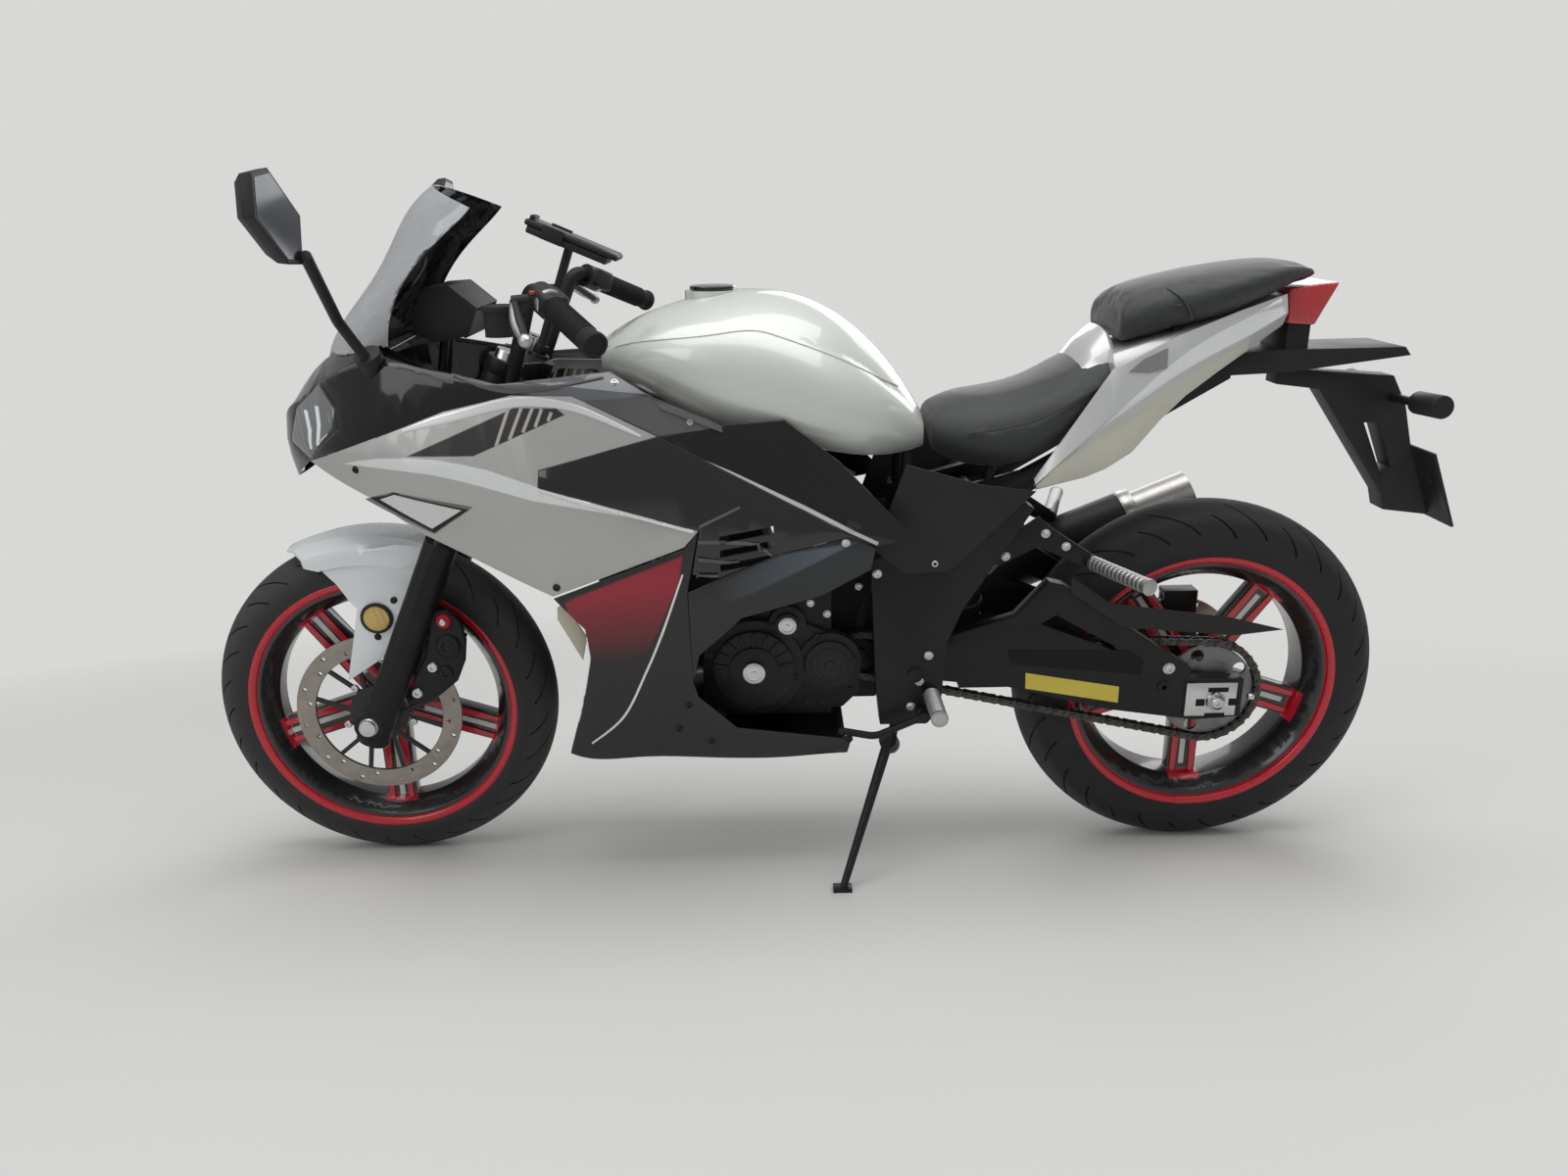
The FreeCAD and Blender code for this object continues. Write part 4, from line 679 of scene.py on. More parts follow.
class Tone(Enum):
    """The finishes of the CAD slots and of the added pieces."""

    SILVER = Lacquer("silver_paint", (0.60, 0.61, 0.60), (0.53, 0.54, 0.52), 0.50, 0.38, 0.3)
    PEARL = Lacquer("pearl_paint", (0.66, 0.69, 0.65), (0.56, 0.60, 0.55), 0.22, 0.36, 0.3)
    GLOSS = Lacquer("black_gloss", (0.0045, 0.0045, 0.0055), (0.008, 0.008, 0.009), 0.0, 0.16)
    PLASTIC = Moulded("black_plastic", (0.016, 0.016, 0.017), 0.42)
    CASTING = Moulded("black_castings", (0.014, 0.014, 0.015), 0.38, 0.3, 500.0, 0.00012, 0.2)
    ENGINE = Moulded("engine_black", (0.018, 0.018, 0.020), 0.40, 0.35, 420.0, 0.0002, 0.3)
    FRAME = Moulded("frame_black", (0.013, 0.013, 0.014), 0.34, 0.2, 700.0, 0.00008, 0.15)
    RUBBER = Moulded("grip_rubber", (0.014, 0.014, 0.014), 0.7, 0.0, 300.0, 0.0003, 0.3)
    STEEL = Metal("bright_steel", (0.62, 0.62, 0.62), 0.22, 0.15)
    CHROME = Metal("fork_chrome", (0.72, 0.72, 0.74), 0.08, 0.05)
    CHAIN = Metal("chain_steel", (0.10, 0.095, 0.09), 0.42, 0.5, (0.03, 0.025, 0.02))
    SPROCKET = Metal("sprocket_steel", (0.22, 0.22, 0.23), 0.36, 0.5)
    ALLOY = Metal("alloy_pegs", (0.5, 0.5, 0.5), 0.34, 0.3)
    EXHAUST = Metal("exhaust_metal", (0.55, 0.54, 0.52), 0.3, 0.3, (0.2, 0.14, 0.08))
    RADIATOR = Metal("radiator_alloy", (0.06, 0.06, 0.06), 0.45, 0.4)
    SPRING = Moulded("shock_spring", (0.03, 0.03, 0.03), 0.3, 0.3)
    CLEAR = Lens("clear_lens", (0.16, 0.17, 0.18), 0.90, 0.05, 260.0)
    RED = Lens("red_lens", (0.55, 0.012, 0.02), 0.93, 0.08, 330.0)
    SMOKE = Lens("smoked_screen", (0.008, 0.009, 0.011), 0.93, 0.04)
    VINYL = Vinyl("seat_vinyl", (0.020, 0.022, 0.023))
    # Darker silver of the tail's recess patch: painted shade.
    SHADE = Lacquer("shaded_silver", (0.26, 0.26, 0.27), (0.22, 0.22, 0.23), 0.4, 0.4, 0.2)
    PIPING = Moulded("seat_piping", (0.05, 0.052, 0.054), 0.4)
    # Pale lacquer of the raised edge strips: a painted highlight on the panels' edges and folds.
    BRIGHT = Lacquer("painted_highlight_trim", (0.78, 0.80, 0.80), (0.72, 0.74, 0.74), 0.3, 0.25, 0.5)
    SHEEN = Lens("screen_sheen", (0.60, 0.62, 0.65), 0.62, 0.05)
    CREAM = Lacquer("cream_plastic", (0.50, 0.48, 0.38), (0.44, 0.42, 0.33), 0.0, 0.4)
    MIRROR = Metal("mirror_glass", (0.05, 0.055, 0.065), 0.05, 0.0)
    SIGNAL = Lens("signal_lens", (0.66, 0.68, 0.66), 0.97, 0.06, 420.0)
    AMBER = Lens("amber_reflector", (0.62, 0.42, 0.10), 0.96, 0.15, 300.0)
    LABEL = Moulded("yellow_label", (0.62, 0.50, 0.08), 0.5)
    LIGHT = Moulded("lamp_bars", (0.80, 0.82, 0.84), 0.25)
    GREY = Moulded("grey_plastic", (0.10, 0.10, 0.105), 0.45)
    GLASS = Moulded("dark_glass", (0.012, 0.013, 0.016), 0.06)
    RED_KEY = Moulded("red_key", (0.45, 0.01, 0.015), 0.4)
    LIP = Lacquer("rim_lip_red", (0.54, 0.008, 0.024), (0.42, 0.006, 0.018), 0.15, 0.25)
    FLANK = Lacquer("warm_silver", (0.60, 0.59, 0.51), (0.54, 0.53, 0.45), 0.2, 0.38, 0.3)
    # Near black for slots and recesses: painted shade.
    RECESS_SHADE = Moulded("painted_recess_shade", (0.003, 0.003, 0.003), 0.6)


FRONT_AXLE: Point = (0.0, 0.0, axle_height(FRONT_RADIUS, FRONT_CROWN))
REAR_AXLE: Point = (WHEELBASE, 0.0, axle_height(REAR_RADIUS, REAR_CROWN))
NODE_FINISH: dict[str, Finish] = {
    "footrests": Tone.CASTING.value,
    "fuel_cap": Tone.GLOSS.value,
    "front_tyre": TyreRubber("front_tyre_rubber", FRONT_AXLE),
    "rear_tyre": TyreRubber("rear_tyre_rubber", REAR_AXLE),
    "front_rim": WheelPaint("front_wheel_paint", FRONT_AXLE, FRONT_HALF_RIM, (0.060, 0.192)),
    "rear_rim": WheelPaint("rear_wheel_paint", REAR_AXLE, REAR_HALF_RIM, (0.085, 0.176)),
    "front_disc": DiscPaint("front_disc_steel", FRONT_AXLE, 0.108),
    "rear_disc": DiscPaint("rear_disc_steel", REAR_AXLE, 0.080),
    "belly_pan": BellyPaint("belly_paint"),
    "side_fairings": FairingPaint("fairing_paint"),
    "tail_cowl": TailPaint("tail_paint"),
    "front_fender": Lacquer("fender_silver", (0.74, 0.78, 0.80), (0.68, 0.72, 0.74), 0.2, 0.36, 0.3),
    "upper_panels": UpperPaint("upper_paint"),
    "sweep_panels": SweepPaint("sweep_paint"),
}
SLOT_FINISH: dict[str, Finish] = {tone.value.name: tone.value for tone in Tone}


# Modelling.
RIBBON_STEPS = 18
RIBBON_REACH = 0.006
SINK = 0.0008
BODY_OF: dict[str, str] = {node: body for body, nodes in frame["record"]["behaviour"]["bodies"].items()
                           for node in nodes}
SLOT_OF: dict[str, str] = {part["node"]: part["material_slot"] for part in frame["record"]["subparts"]}


def node_finish(name: str) -> Finish:
    """The finish of one CAD node."""
    return NODE_FINISH.get(name) or SLOT_FINISH[SLOT_OF[name]]


def facing(origin: Point, axis: Point) -> Matrix:
    """The matrix that takes a piece standing on Z at the origin to a place and a direction."""
    turn = Vector(axis).normalized().to_track_quat("Z", "Y").to_matrix().to_4x4()
    return Matrix.Translation(Vector(origin)) @ turn


class Skin:
    """The surface of a CAD node in the upright frame, to seat small pieces on."""

    trees: dict[str, BVHTree] = {}
    outside: float = 0.6
    panel_y: float = 0.24

    @classmethod
    def tree(cls, node: str) -> BVHTree:
        """The node's search tree, made once."""
        if node not in cls.trees:
            mesh = frame["nodes"][node].data
            back = LEANED.inverted()
            points = [back @ vertex.co for vertex in mesh.vertices]
            cls.trees[node] = BVHTree.FromPolygons(points, [tuple(face.vertices) for face in mesh.polygons])
        return cls.trees[node]

    @classmethod
    def spot(cls, node: str, x: float, z: float, side: int = LEFT) -> tuple[Vector, Vector]:
        """Where a line across the bike first meets a node, or the nearest place where it misses.

        Args:
            node: The CAD node.
            x: Distance rearward.
            z: Height.
            side: The side that the line comes from.
        Returns:
            The point and the outward normal there.
        """
        tree = cls.tree(node)
        hit, normal, _, _ = tree.ray_cast(Vector((x, side * cls.outside, z)), Vector((0.0, -side, 0.0)))
        if hit is None:
            hit, normal, _, _ = tree.find_nearest(Vector((x, side * cls.panel_y, z)))
        if normal.y * side < 0.0:
            normal = -normal
        return hit, normal.normalized()


@dataclass
class Piece:
    """One piece made from a primitive and shaped in edit mode, in the upright bike's frame."""

    name: str
    finish: Finish
    body: str = "chassis"
    obj: Optional[bpy.types.Object] = None

    def wake(self) -> None:
        """Make this piece the only selected and the active one."""
        bpy.ops.object.select_all(action="DESELECT")
        self.obj.select_set(True)
        bpy.context.view_layer.objects.active = self.obj

    def start(self, kind: str, **options: object) -> "Piece":
        """Begin with a primitive."""
        bpy.ops.object.select_all(action="DESELECT")
        getattr(bpy.ops.mesh, f"primitive_{kind}_add")(**options)
        self.obj = bpy.context.active_object
        self.obj.name = self.obj.data.name = self.name
        return self

    def copy_node(self, node: str) -> "Piece":
        """Begin with a copy of a CAD node, its doubled points merged."""
        self.obj = frame["nodes"][node].copy()
        self.obj.data = self.obj.data.copy()
        self.obj.name = self.obj.data.name = self.name
        self.obj.parent = None
        self.obj.matrix_world = Matrix.Identity(4)
        bpy.context.scene.collection.objects.link(self.obj)
        self.obj.data.transform(LEANED.inverted())
        return self.edit(("select_all", {"action": "SELECT"}), ("remove_doubles", {"threshold": 0.00002}),
                         ("dissolve_limited", {"angle_limit": math.radians(0.6)}))

    def edit(self, *steps: tuple[str, dict]) -> "Piece":
        """Run mesh operators on the whole piece in edit mode.

        Args:
            *steps: Operator names and their options.
        Returns:
            The piece.
        """
        self.wake()
        bpy.ops.object.mode_set(mode="EDIT")
        for name, options in steps:
            getattr(bpy.ops.mesh, name)(**options)
        bpy.ops.object.mode_set(mode="OBJECT")
        return self

    def outward(self) -> "Piece":
        """Turn all the faces outwards."""
        return self.edit(("select_all", {"action": "SELECT"}), ("normals_make_consistent", {"inside": False}))

    def pick(self, wanted: Callable[[Vector, Vector], bool]) -> "Piece":
        """Select the faces whose middle and normal are wanted."""
        bpy.context.tool_settings.mesh_select_mode = (False, False, True)
        mesh = self.obj.data
        mesh.vertices.foreach_set("select", np.zeros(len(mesh.vertices), bool))
        mesh.edges.foreach_set("select", np.zeros(len(mesh.edges), bool))
        for face in mesh.polygons:
            face.select = wanted(face.center, face.normal)
        return self

    def choose(self, indices: Iterable[int]) -> "Piece":
        """Select the faces of the given numbers."""
        numbers = set(indices)
        self.pick(lambda middle, normal: False)
        for number in numbers:
            self.obj.data.polygons[number].select = True
        return self

    def join(self, objects: Sequence[bpy.types.Object]) -> "Piece":
        """Join other objects into this piece."""
        self.wake()
        for other in objects:
            other.select_set(True)
        bpy.ops.object.join()
        self.obj = bpy.context.active_object
        return self

    def modify(self, kind: str, **settings: object) -> "Piece":
        """Add a modifier and apply it."""
        self.wake()
        modifier = self.obj.modifiers.new(kind.lower(), kind)
        for name, value in settings.items():
            setattr(modifier, name, value)
        bpy.ops.object.modifier_apply(modifier=modifier.name)
        return self

    def bevel(self, width: float, segments: int = 2, angle: float = 32.0) -> "Piece":
        """Round the sharp edges."""
        return self.modify("BEVEL", width=width, segments=segments, limit_method="ANGLE",
                           angle_limit=math.radians(angle), use_clamp_overlap=True, miter_outer="MITER_ARC")

    def turned(self, profile: Outline, segments: int = 32, ring: bool = False) -> "Piece":
        """A solid of revolution about Z, drawn out ring by ring from a disc.

        Args:
            profile: Radius and height of each ring.
            segments: Points round the axis.
            ring: Whether the profile closes on itself, which leaves a hole down the middle.
        Returns:
            The piece.
        """
        radius, height = profile[0]
        fill = "NOTHING" if ring else "NGON"
        self.start("circle", vertices=segments, radius=radius, fill_type=fill)
        self.wake()
        bpy.ops.object.mode_set(mode="EDIT")
        bpy.ops.mesh.select_all(action="SELECT")
        bpy.ops.transform.translate(value=(0.0, 0.0, height))
        extrude = bpy.ops.mesh.extrude_edges_move if ring else bpy.ops.mesh.extrude_region_move
        for (before, low), (after, high) in zip(profile, profile[1:]):
            extrude(TRANSFORM_OT_translate={"value": (0.0, 0.0, high - low)})
            bpy.ops.transform.resize(value=(after / before, after / before, 1.0),
                                     center_override=(0.0, 0.0, high))
        bpy.ops.mesh.select_all(action="SELECT")
        bpy.ops.mesh.remove_doubles(threshold=0.00001)
        bpy.ops.object.mode_set(mode="OBJECT")
        return self

    def slab(self, outline: Outline, near: float, far: float) -> "Piece":
        """A side-view outline of (x, z) corners carried from one y to another."""
        self.start("circle", vertices=len(outline), radius=1.0, fill_type="NGON")
        for vertex, (x, z) in zip(self.obj.data.vertices, outline):
            vertex.co = (x, near, z)
        draw = {"TRANSFORM_OT_translate": {"value": (0.0, far - near, 0.0)}}
        return self.edit(("select_all", {"action": "SELECT"}), ("extrude_region_move", draw))

    def block(self, size: Point, bevel: float, segments: int = 3) -> "Piece":
        """A block of the given size about the origin with rounded edges."""
        self.start("cube", size=1.0)
        self.move(Matrix.Diagonal((*size, 1.0)))
        return self.bevel(bevel, segments)

    def tube(self, points: Sequence[Point], radius: float, sides: int = 5) -> "Piece":
        """A round bar along a smooth line through the points."""
        curve = bpy.data.curves.new(self.name, "CURVE")
        curve.dimensions = "3D"
        curve.bevel_depth = radius
        curve.bevel_resolution = sides
        curve.use_fill_caps = True
        spline = curve.splines.new("NURBS")
        spline.points.add(len(points) - 1)
        for point, place in zip(spline.points, points):
            point.co = (*place, 1.0)
        spline.order_u = 3
        spline.use_endpoint_u = True
        self.obj = bpy.data.objects.new(self.name, curve)
        bpy.context.scene.collection.objects.link(self.obj)
        self.wake()
        bpy.ops.object.convert(target="MESH")
        self.obj = bpy.context.active_object
        return self

    def rings(self, rings: Sequence[Sequence[Point]], closed: bool = False) -> "Piece":
        """A skin through rings of points, capped at its ends or closed on itself."""
        self.start("plane")
        mesh = bmesh.new()
        loops = [[mesh.verts.new(point) for point in ring] for ring in rings]
        for first, second in zip(loops, loops[1:] + loops[:1] if closed else loops[1:]):
            for index in range(len(first)):
                mesh.faces.new((first[index - 1], first[index], second[index], second[index - 1]))
        if not closed:
            mesh.faces.new(loops[0])
            mesh.faces.new(loops[-1])
        mesh.to_mesh(self.obj.data)
        mesh.free()
        return self

    @staticmethod
    def glide(points: Outline, index: int, share: float) -> tuple[float, float]:
        """A point of the smooth line through the points, a share of the way from one to the next."""
        known = [points[min(max(index + step, 0), len(points) - 1)] for step in (-1, 0, 1, 2)]
        place = []
        for a, b, c, d in zip(*known):
            bend = 2 * a - 5 * b + 4 * c - d + share * (3 * (b - c) + d - a)
            place.append(b + 0.5 * share * (c - a + share * bend))
        return tuple(place)

    def ribbon(self, node: str, points: Outline, widths: Sequence[float], height: float,
               side: int) -> "Piece":
        """A raised strip that lies on a node along a side-view line.

        Args:
            node: The CAD node it lies on.
            points: Side-view points of its middle line.
            widths: Its width at each point.
            height: How far it stands out.
            side: The bike's side.
        Returns:
            The piece.
        """
        line = []
        for index in range(len(points) - 1):
            for step in range(RIBBON_STEPS + (index == len(points) - 2)):
                share = step / RIBBON_STEPS
                x, z = self.glide(points, index, share)
                width = widths[index] + (widths[index + 1] - widths[index]) * share
                line.append((*Skin.spot(node, x, z, side), width))
        half = [(0.5, -SINK), (0.5, height * 0.45), (0.38, height), (0.22, height), (0.07, height)]
        shape = [(-share, lift) for share, lift in half] + half[::-1]
        sections = []
        for index, (place, normal, width) in enumerate(line):
            ahead = line[min(index + 1, len(line) - 1)][0] - line[max(index - 1, 0)][0]
            across = normal.cross(ahead).normalized()
            section = []
            for share, lift in shape:
                flat = place + across * (width * share)
                spot, _ = Skin.spot(node, flat.x, flat.z, side)
                foot = spot if (spot - flat).length < RIBBON_REACH else flat
                section.append(foot + normal * lift)
            sections.append(section)
        return self.rings(sections)

    def move(self, matrix: Matrix) -> "Piece":
        """Move the mesh itself, so that the object stays at the origin."""
        self.obj.data.transform(matrix)
        if matrix.determinant() < 0.0:
            self.obj.data.flip_normals()
        return self

    def stand(self, origin: Point, axis: Point) -> "Piece":
        """Set a piece made along Z on a place, pointing along an axis."""
        return self.move(facing(origin, axis))

    def repeat(self, places: Iterable[Matrix]) -> "Piece":
        """Copies of the piece's mesh at each place, as one piece."""
        mesh = bmesh.new()
        for place in places:
            part = self.obj.data.copy()
            part.transform(place)
            mesh.from_mesh(part)
            bpy.data.meshes.remove(part)
        mesh.to_mesh(self.obj.data)
        mesh.free()
        return self

    def twin(self) -> "Piece":
        """The piece and its mirror image on the bike's other side, as one piece."""
        return self.repeat((Matrix.Identity(4), Matrix.Diagonal((1.0, -1.0, 1.0, 1.0))))

    def done(self, *nodes: str, smooth: float = 35.0) -> "Piece":
        """Lean the piece, give it its finish and hang it on its body.

        Args:
            *nodes: The CAD nodes that it replaces.
            smooth: The angle up to which edges shade smoothly.
        Returns:
            The piece.
        """
        self.obj.data.transform(LEANED)
        self.outward()
        bpy.ops.object.shade_smooth_by_angle(angle=math.radians(smooth))
        self.obj.data.materials.clear()
        self.obj.data.materials.append(self.finish.material())
        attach(self.obj, self.body)
        if nodes:
            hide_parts(*nodes)
        return self


# Edge radius of each CAD node that is shown with softened edges, in metres.
SOFT_EDGES: dict[str, float] = {
    "frame": 0.0016, "swingarm": 0.0022, "yokes": 0.0018, "engine": 0.0026, "engine_covers": 0.0014,
    "front_caliper": 0.0025, "rear_caliper": 0.0020, "rear_sprocket": 0.0006, "front_disc": 0.0005,
    "rear_disc": 0.0005, "rear_axle": 0.0010, "footrests": 0.0012, "pedals": 0.0010, "instruments": 0.0040,
    "tail_cowl": 0.0008, "rear_mudguard": 0.0015, "tail_lamp": 0.0040, "side_covers": 0.0008,
    "side_fairings": 0.0009, "upper_panels": 0.0009, "side_scoops": 0.0009, "sweep_panels": 0.0009,
    "belly_pan": 0.0009, "nose_cowl": 0.0009, "headlights": 0.0006, "front_signals": 0.0006,
    "windscreen": 0.0009, "front_fender": 0.0009, "chain_guard": 0.0009, "fork_sliders": 0.0010,
    "fork_tubes": 0.0006, "front_axle": 0.0016, "side_stand": 0.0012, "front_rim": 0.0015, "rear_rim": 0.0015,
    "fuel_tank": 0.0060, "handlebars": 0.0008, "phone_holder": 0.0016, "rear_signals": 0.0020,
    "fuel_cap": 0.0016,
}


@dataclass
class SoftEdged:
    """CAD nodes shown as copies with their sharp edges rounded."""

    widths: dict[str, float] = field(default_factory=lambda: dict(SOFT_EDGES))

    def build(self) -> None:
        """Make the copies."""
        for node, width in self.widths.items():
            piece = Piece(f"{node}_shaped", node_finish(node), BODY_OF[node]).copy_node(node)
            piece.bevel(width, 3 if width > 0.003 else 2).done(node)
        LOG.info("rounded %d nodes", len(self.widths))


@dataclass
class Tyre:
    """One tyre drawn station by station on slanted meridians, its grooves sunk between two of them."""

    node: str
    axle: Point
    crown: float
    radius: float
    grooves: int = 15
    depth: float = 0.0042
    slant: float = 0.34
    shares: Sequence[float] = (0.0, 0.040, 0.18, 0.34, 0.5, 0.540, 0.68, 0.84)
    steps: int = 18
    rib_step: float = 15.5
    rib: float = 0.0007

    def profile(self, bead: float, half: float) -> list[tuple[float, float]]:
        """The section as radius and y, from the left bead over the crown to the right one."""
        centre = self.radius - self.crown
        limit = math.acos((RIM_RADIUS + 0.0006 - centre) / self.crown)
        outside = []
        for step in range(-self.steps, self.steps + 1):
            turn = limit * step / self.steps
            reach = self.crown + (self.rib if abs(abs(step) - self.rib_step) < 1.0 else 0.0)
            outside.append((centre + reach * math.cos(turn), reach * math.sin(turn)))
        return [(bead, -half), *outside, (bead, half)]

    def build(self) -> None:
        """Make the tyre."""
        back = LEANED.inverted()
        points = [back @ vertex.co - Vector(self.axle) for vertex in frame["nodes"][self.node].data.vertices]
        bead = min(math.hypot(point.x, point.z) for point in points)
        half = max(abs(point.y) for point in points if math.hypot(point.x, point.z) < bead + 0.0001)
        profile = self.profile(bead, half)
        pitch = 2.0 * math.pi / self.grooves
        rings = []
        for groove in range(self.grooves):
            for share in self.shares:
                ring = []
                for radius, y in profile:
                    swept = self.slant * min(1.0, abs(y) / self.crown) ** 1.4
                    turn = pitch * (groove + share) + swept
                    ring.append((self.axle[0] + radius * math.sin(turn), self.axle[1] + y,
                                 self.axle[2] + radius * math.cos(turn)))
                rings.append(ring)
        piece = Piece(f"{self.node}_treaded", node_finish(self.node), BODY_OF[self.node])
        piece.rings(rings, closed=True)
        middle = self.steps + 1
        chosen = set()
        for station in range(len(rings)):
            kind = station % len(self.shares)
            if kind in (0, 4):
                start = station * len(profile) + middle
                way = -1 if kind == 0 else 1
                chosen |= {start + way * step for step in range(3, 12)}
                chosen |= {start - way * step for step in range(7, 13)}
        piece.outward().choose(chosen)
        piece.edit(("extrude_region_shrink_fatten", {"TRANSFORM_OT_shrink_fatten": {"value": -self.depth}}))
        piece.done(self.node, smooth=30.0)
        LOG.info("%s has %d grooves", self.node, 4 * self.grooves)


@dataclass
class Chain:
    """The drive chain link by link round both sprockets."""

    gearbox: tuple[float, float] = (0.822, 0.392)
    small: float = 0.036
    large: float = 0.088
    line_y: float = -0.084
    pitch: float = 0.015875
    roller_radius: float = 0.0034
    waist: float = 0.72

    def path(self) -> tuple[float, Callable[[float], Vector]]:
        """The loop's length, and the place at a distance along it."""
        front, rear = Vector((*self.gearbox,)), Vector((REAR_AXLE[0], REAR_AXLE[2]))
        span = rear - front
        tilt = math.asin((self.large - self.small) / span.length)
        base = math.atan2(span.y, span.x)
        up, down = base + math.pi / 2 + tilt, base - math.pi / 2 - tilt
        straight = math.sqrt(span.length ** 2 - (self.large - self.small) ** 2)
        rear_turn, front_turn = self.large * (up - down), self.small * (2 * math.pi - (up - down))

        def rim(centre: Vector, radius: float, angle: float) -> Vector:
            """A point of a sprocket circle."""
            return centre + Vector((math.cos(angle), math.sin(angle))) * radius

        def place(along: float) -> Vector:
            """A point of the loop."""
            if along < straight:
                return rim(front, self.small, up).lerp(rim(rear, self.large, up), along / straight)
            along -= straight
            if along < rear_turn:
                return rim(rear, self.large, up - along / self.large)
            along -= rear_turn
            if along < straight:
                return rim(rear, self.large, down).lerp(rim(front, self.small, down), along / straight)
            return rim(front, self.small, down - (along - straight) / self.small)

        return 2 * straight + rear_turn + front_turn, place

    def links(self, name: str, first: int, plate_y: float, thick: float, height: float) -> None:
        """Every other link: two waisted plates and two rollers.

        Args:
            name: The piece's name.
            first: The number of its first link.
            plate_y: Distance of its plates from the chain's middle line.
            thick: Thickness of a plate.
            height: Half the height of a plate.
        """
        length, place = self.path()
        count = 2 * round(length / self.pitch / 2)
        step = length / count
        half = self.pitch / 2
        outline = []
        for side in (1, -1):
            for turn in (-60, -20, 20, 60):
                angle = math.radians(turn if side > 0 else turn + 180)
                outline.append((side * half + height * math.cos(angle), height * math.sin(angle)))
            outline.append((0.0, side * height * self.waist))
        piece = Piece(name, Tone.CHAIN.value)
        piece.slab(outline, plate_y - thick / 2, plate_y + thick / 2).twin()
        parts = [piece.obj]
        for spot in (-half, half):
            roller = Piece(f"{name}_roller", Tone.CHAIN.value)
            roller.start("cylinder", vertices=10, radius=self.roller_radius,
                         depth=2 * plate_y + 3 * thick)
            roller.move(Matrix.Translation((spot, 0.0, 0.0)) @ Matrix.Rotation(math.pi / 2, 4, "X"))
            parts.append(roller.obj)
        piece.join(parts)
        places = []
        for index in range(first, count, 2):
            a, b = place(index * step), place((index + 1) * step % length)
            way = (b - a).normalized()
            turn = Matrix.Rotation(-math.atan2(way.y, way.x), 4, "Y")
            middle = (a + b) / 2
            places.append(Matrix.Translation((middle.x, self.line_y, middle.y)) @ turn)
        piece.repeat(places).done("chain", smooth=30.0)

    def build(self) -> None:
        """Make both kinds of link."""
        self.links("chain_outer_links", 0, 0.0074, 0.0018, 0.0072)
        self.links("chain_inner_links", 1, 0.0054, 0.0018, 0.0070)
        LOG.info("chain linked")


@dataclass
class Seat:
    """A padded seat: cushion swollen by a cloth simulation, with its seams on top.

    The hump draws the cushion's front forward and down; the seams' points are in millimetres.
    """

    node: str
    fill: float
    seams: Sequence[Outline]
    tight: float = 0.982
    cell: float = 0.0075
    hump: float = 0.0
    hump_reach: float = 0.09
    shoulder: float = 0.02
    welt: float = 0.0036
    puff: float = 0.0055
    moments: int = 12

    def build(self) -> None:
        """Make the cushion and its piping."""
        piece = Piece(f"{self.node}_cushion", node_finish(self.node), BODY_OF[self.node]).copy_node(self.node)
        corners = [vertex.co.copy() for vertex in piece.obj.data.vertices]
        middle = sum(corners, Vector()) / len(corners)
        piece.move(Matrix.Translation(middle) @ Matrix.Scale(self.tight, 4) @ Matrix.Translation(-middle))
        if self.hump:
            front = min(corner.x for corner in corners)
            low = middle.z - self.shoulder
            for vertex in piece.obj.data.vertices:
                share = max(0.0, 1.0 - (vertex.co.x - front) / self.hump_reach)
                vertex.co.x -= self.hump * share * (0.5 if vertex.co.z > low else 1.0)
                vertex.co.z -= self.hump * 0.4 * share * (vertex.co.z < low)
        piece.modify("REMESH", mode="VOXEL", voxel_size=self.cell)
        self.swell(piece)
        piece.modify("SUBSURF", levels=1, render_levels=1)
        piece.done(self.node, smooth=60.0)
        for number, line in enumerate(self.seams):
            points = [metres(point) for point in line]
            for side in PAIR:
                welt = Piece(f"{self.node}_welt_{number}_{WORD[side]}", Tone.PIPING.value)
                welt.ribbon(self.node, points, [self.welt] * len(points), 0.0030, side).done(smooth=60.0)
        LOG.info("%s padded", self.node)

    def swell(self, piece: Piece) -> None:
        """Blow the cushion up against its cover."""
        piece.wake()
        cloth = piece.obj.modifiers.new("cloth", "CLOTH")
        cloth.settings.use_pressure = True
        cloth.settings.uniform_pressure_force = 4.0
        cloth.settings.tension_stiffness = 40.0
        cloth.settings.compression_stiffness = 40.0
        cloth.settings.shear_stiffness = 20.0
        cloth.settings.effector_weights.gravity = 0.0
        cloth.collision_settings.use_collision = False
        cloth.point_cache.frame_start, cloth.point_cache.frame_end = 1, self.moments
        start = np.empty(3 * len(piece.obj.data.vertices))
        piece.obj.data.vertices.foreach_get("co", start)
        for moment in range(1, self.moments + 1):
            bpy.context.scene.frame_set(moment)
        bpy.ops.object.modifier_apply(modifier=cloth.name)
        bpy.context.scene.frame_set(1)
        moved = np.empty_like(start)
        piece.obj.data.vertices.foreach_get("co", moved)
        step = (moved - start).reshape(-1, 3)
        reach = np.linalg.norm(step, axis=1, keepdims=True)
        step *= np.minimum(1.0, self.puff / np.maximum(reach, 1e-9))
        piece.obj.data.vertices.foreach_set("co", start + step.ravel())
        piece.obj.data.update()


@dataclass(frozen=True)
class BoltRow:
    """Like bolts set on one node, their spots in millimetres."""

    name: str
    node: str
    radius: float
    spots: Outline
    tone: Tone
    sides: Sequence[int] = PAIR
    height: float = 0.7


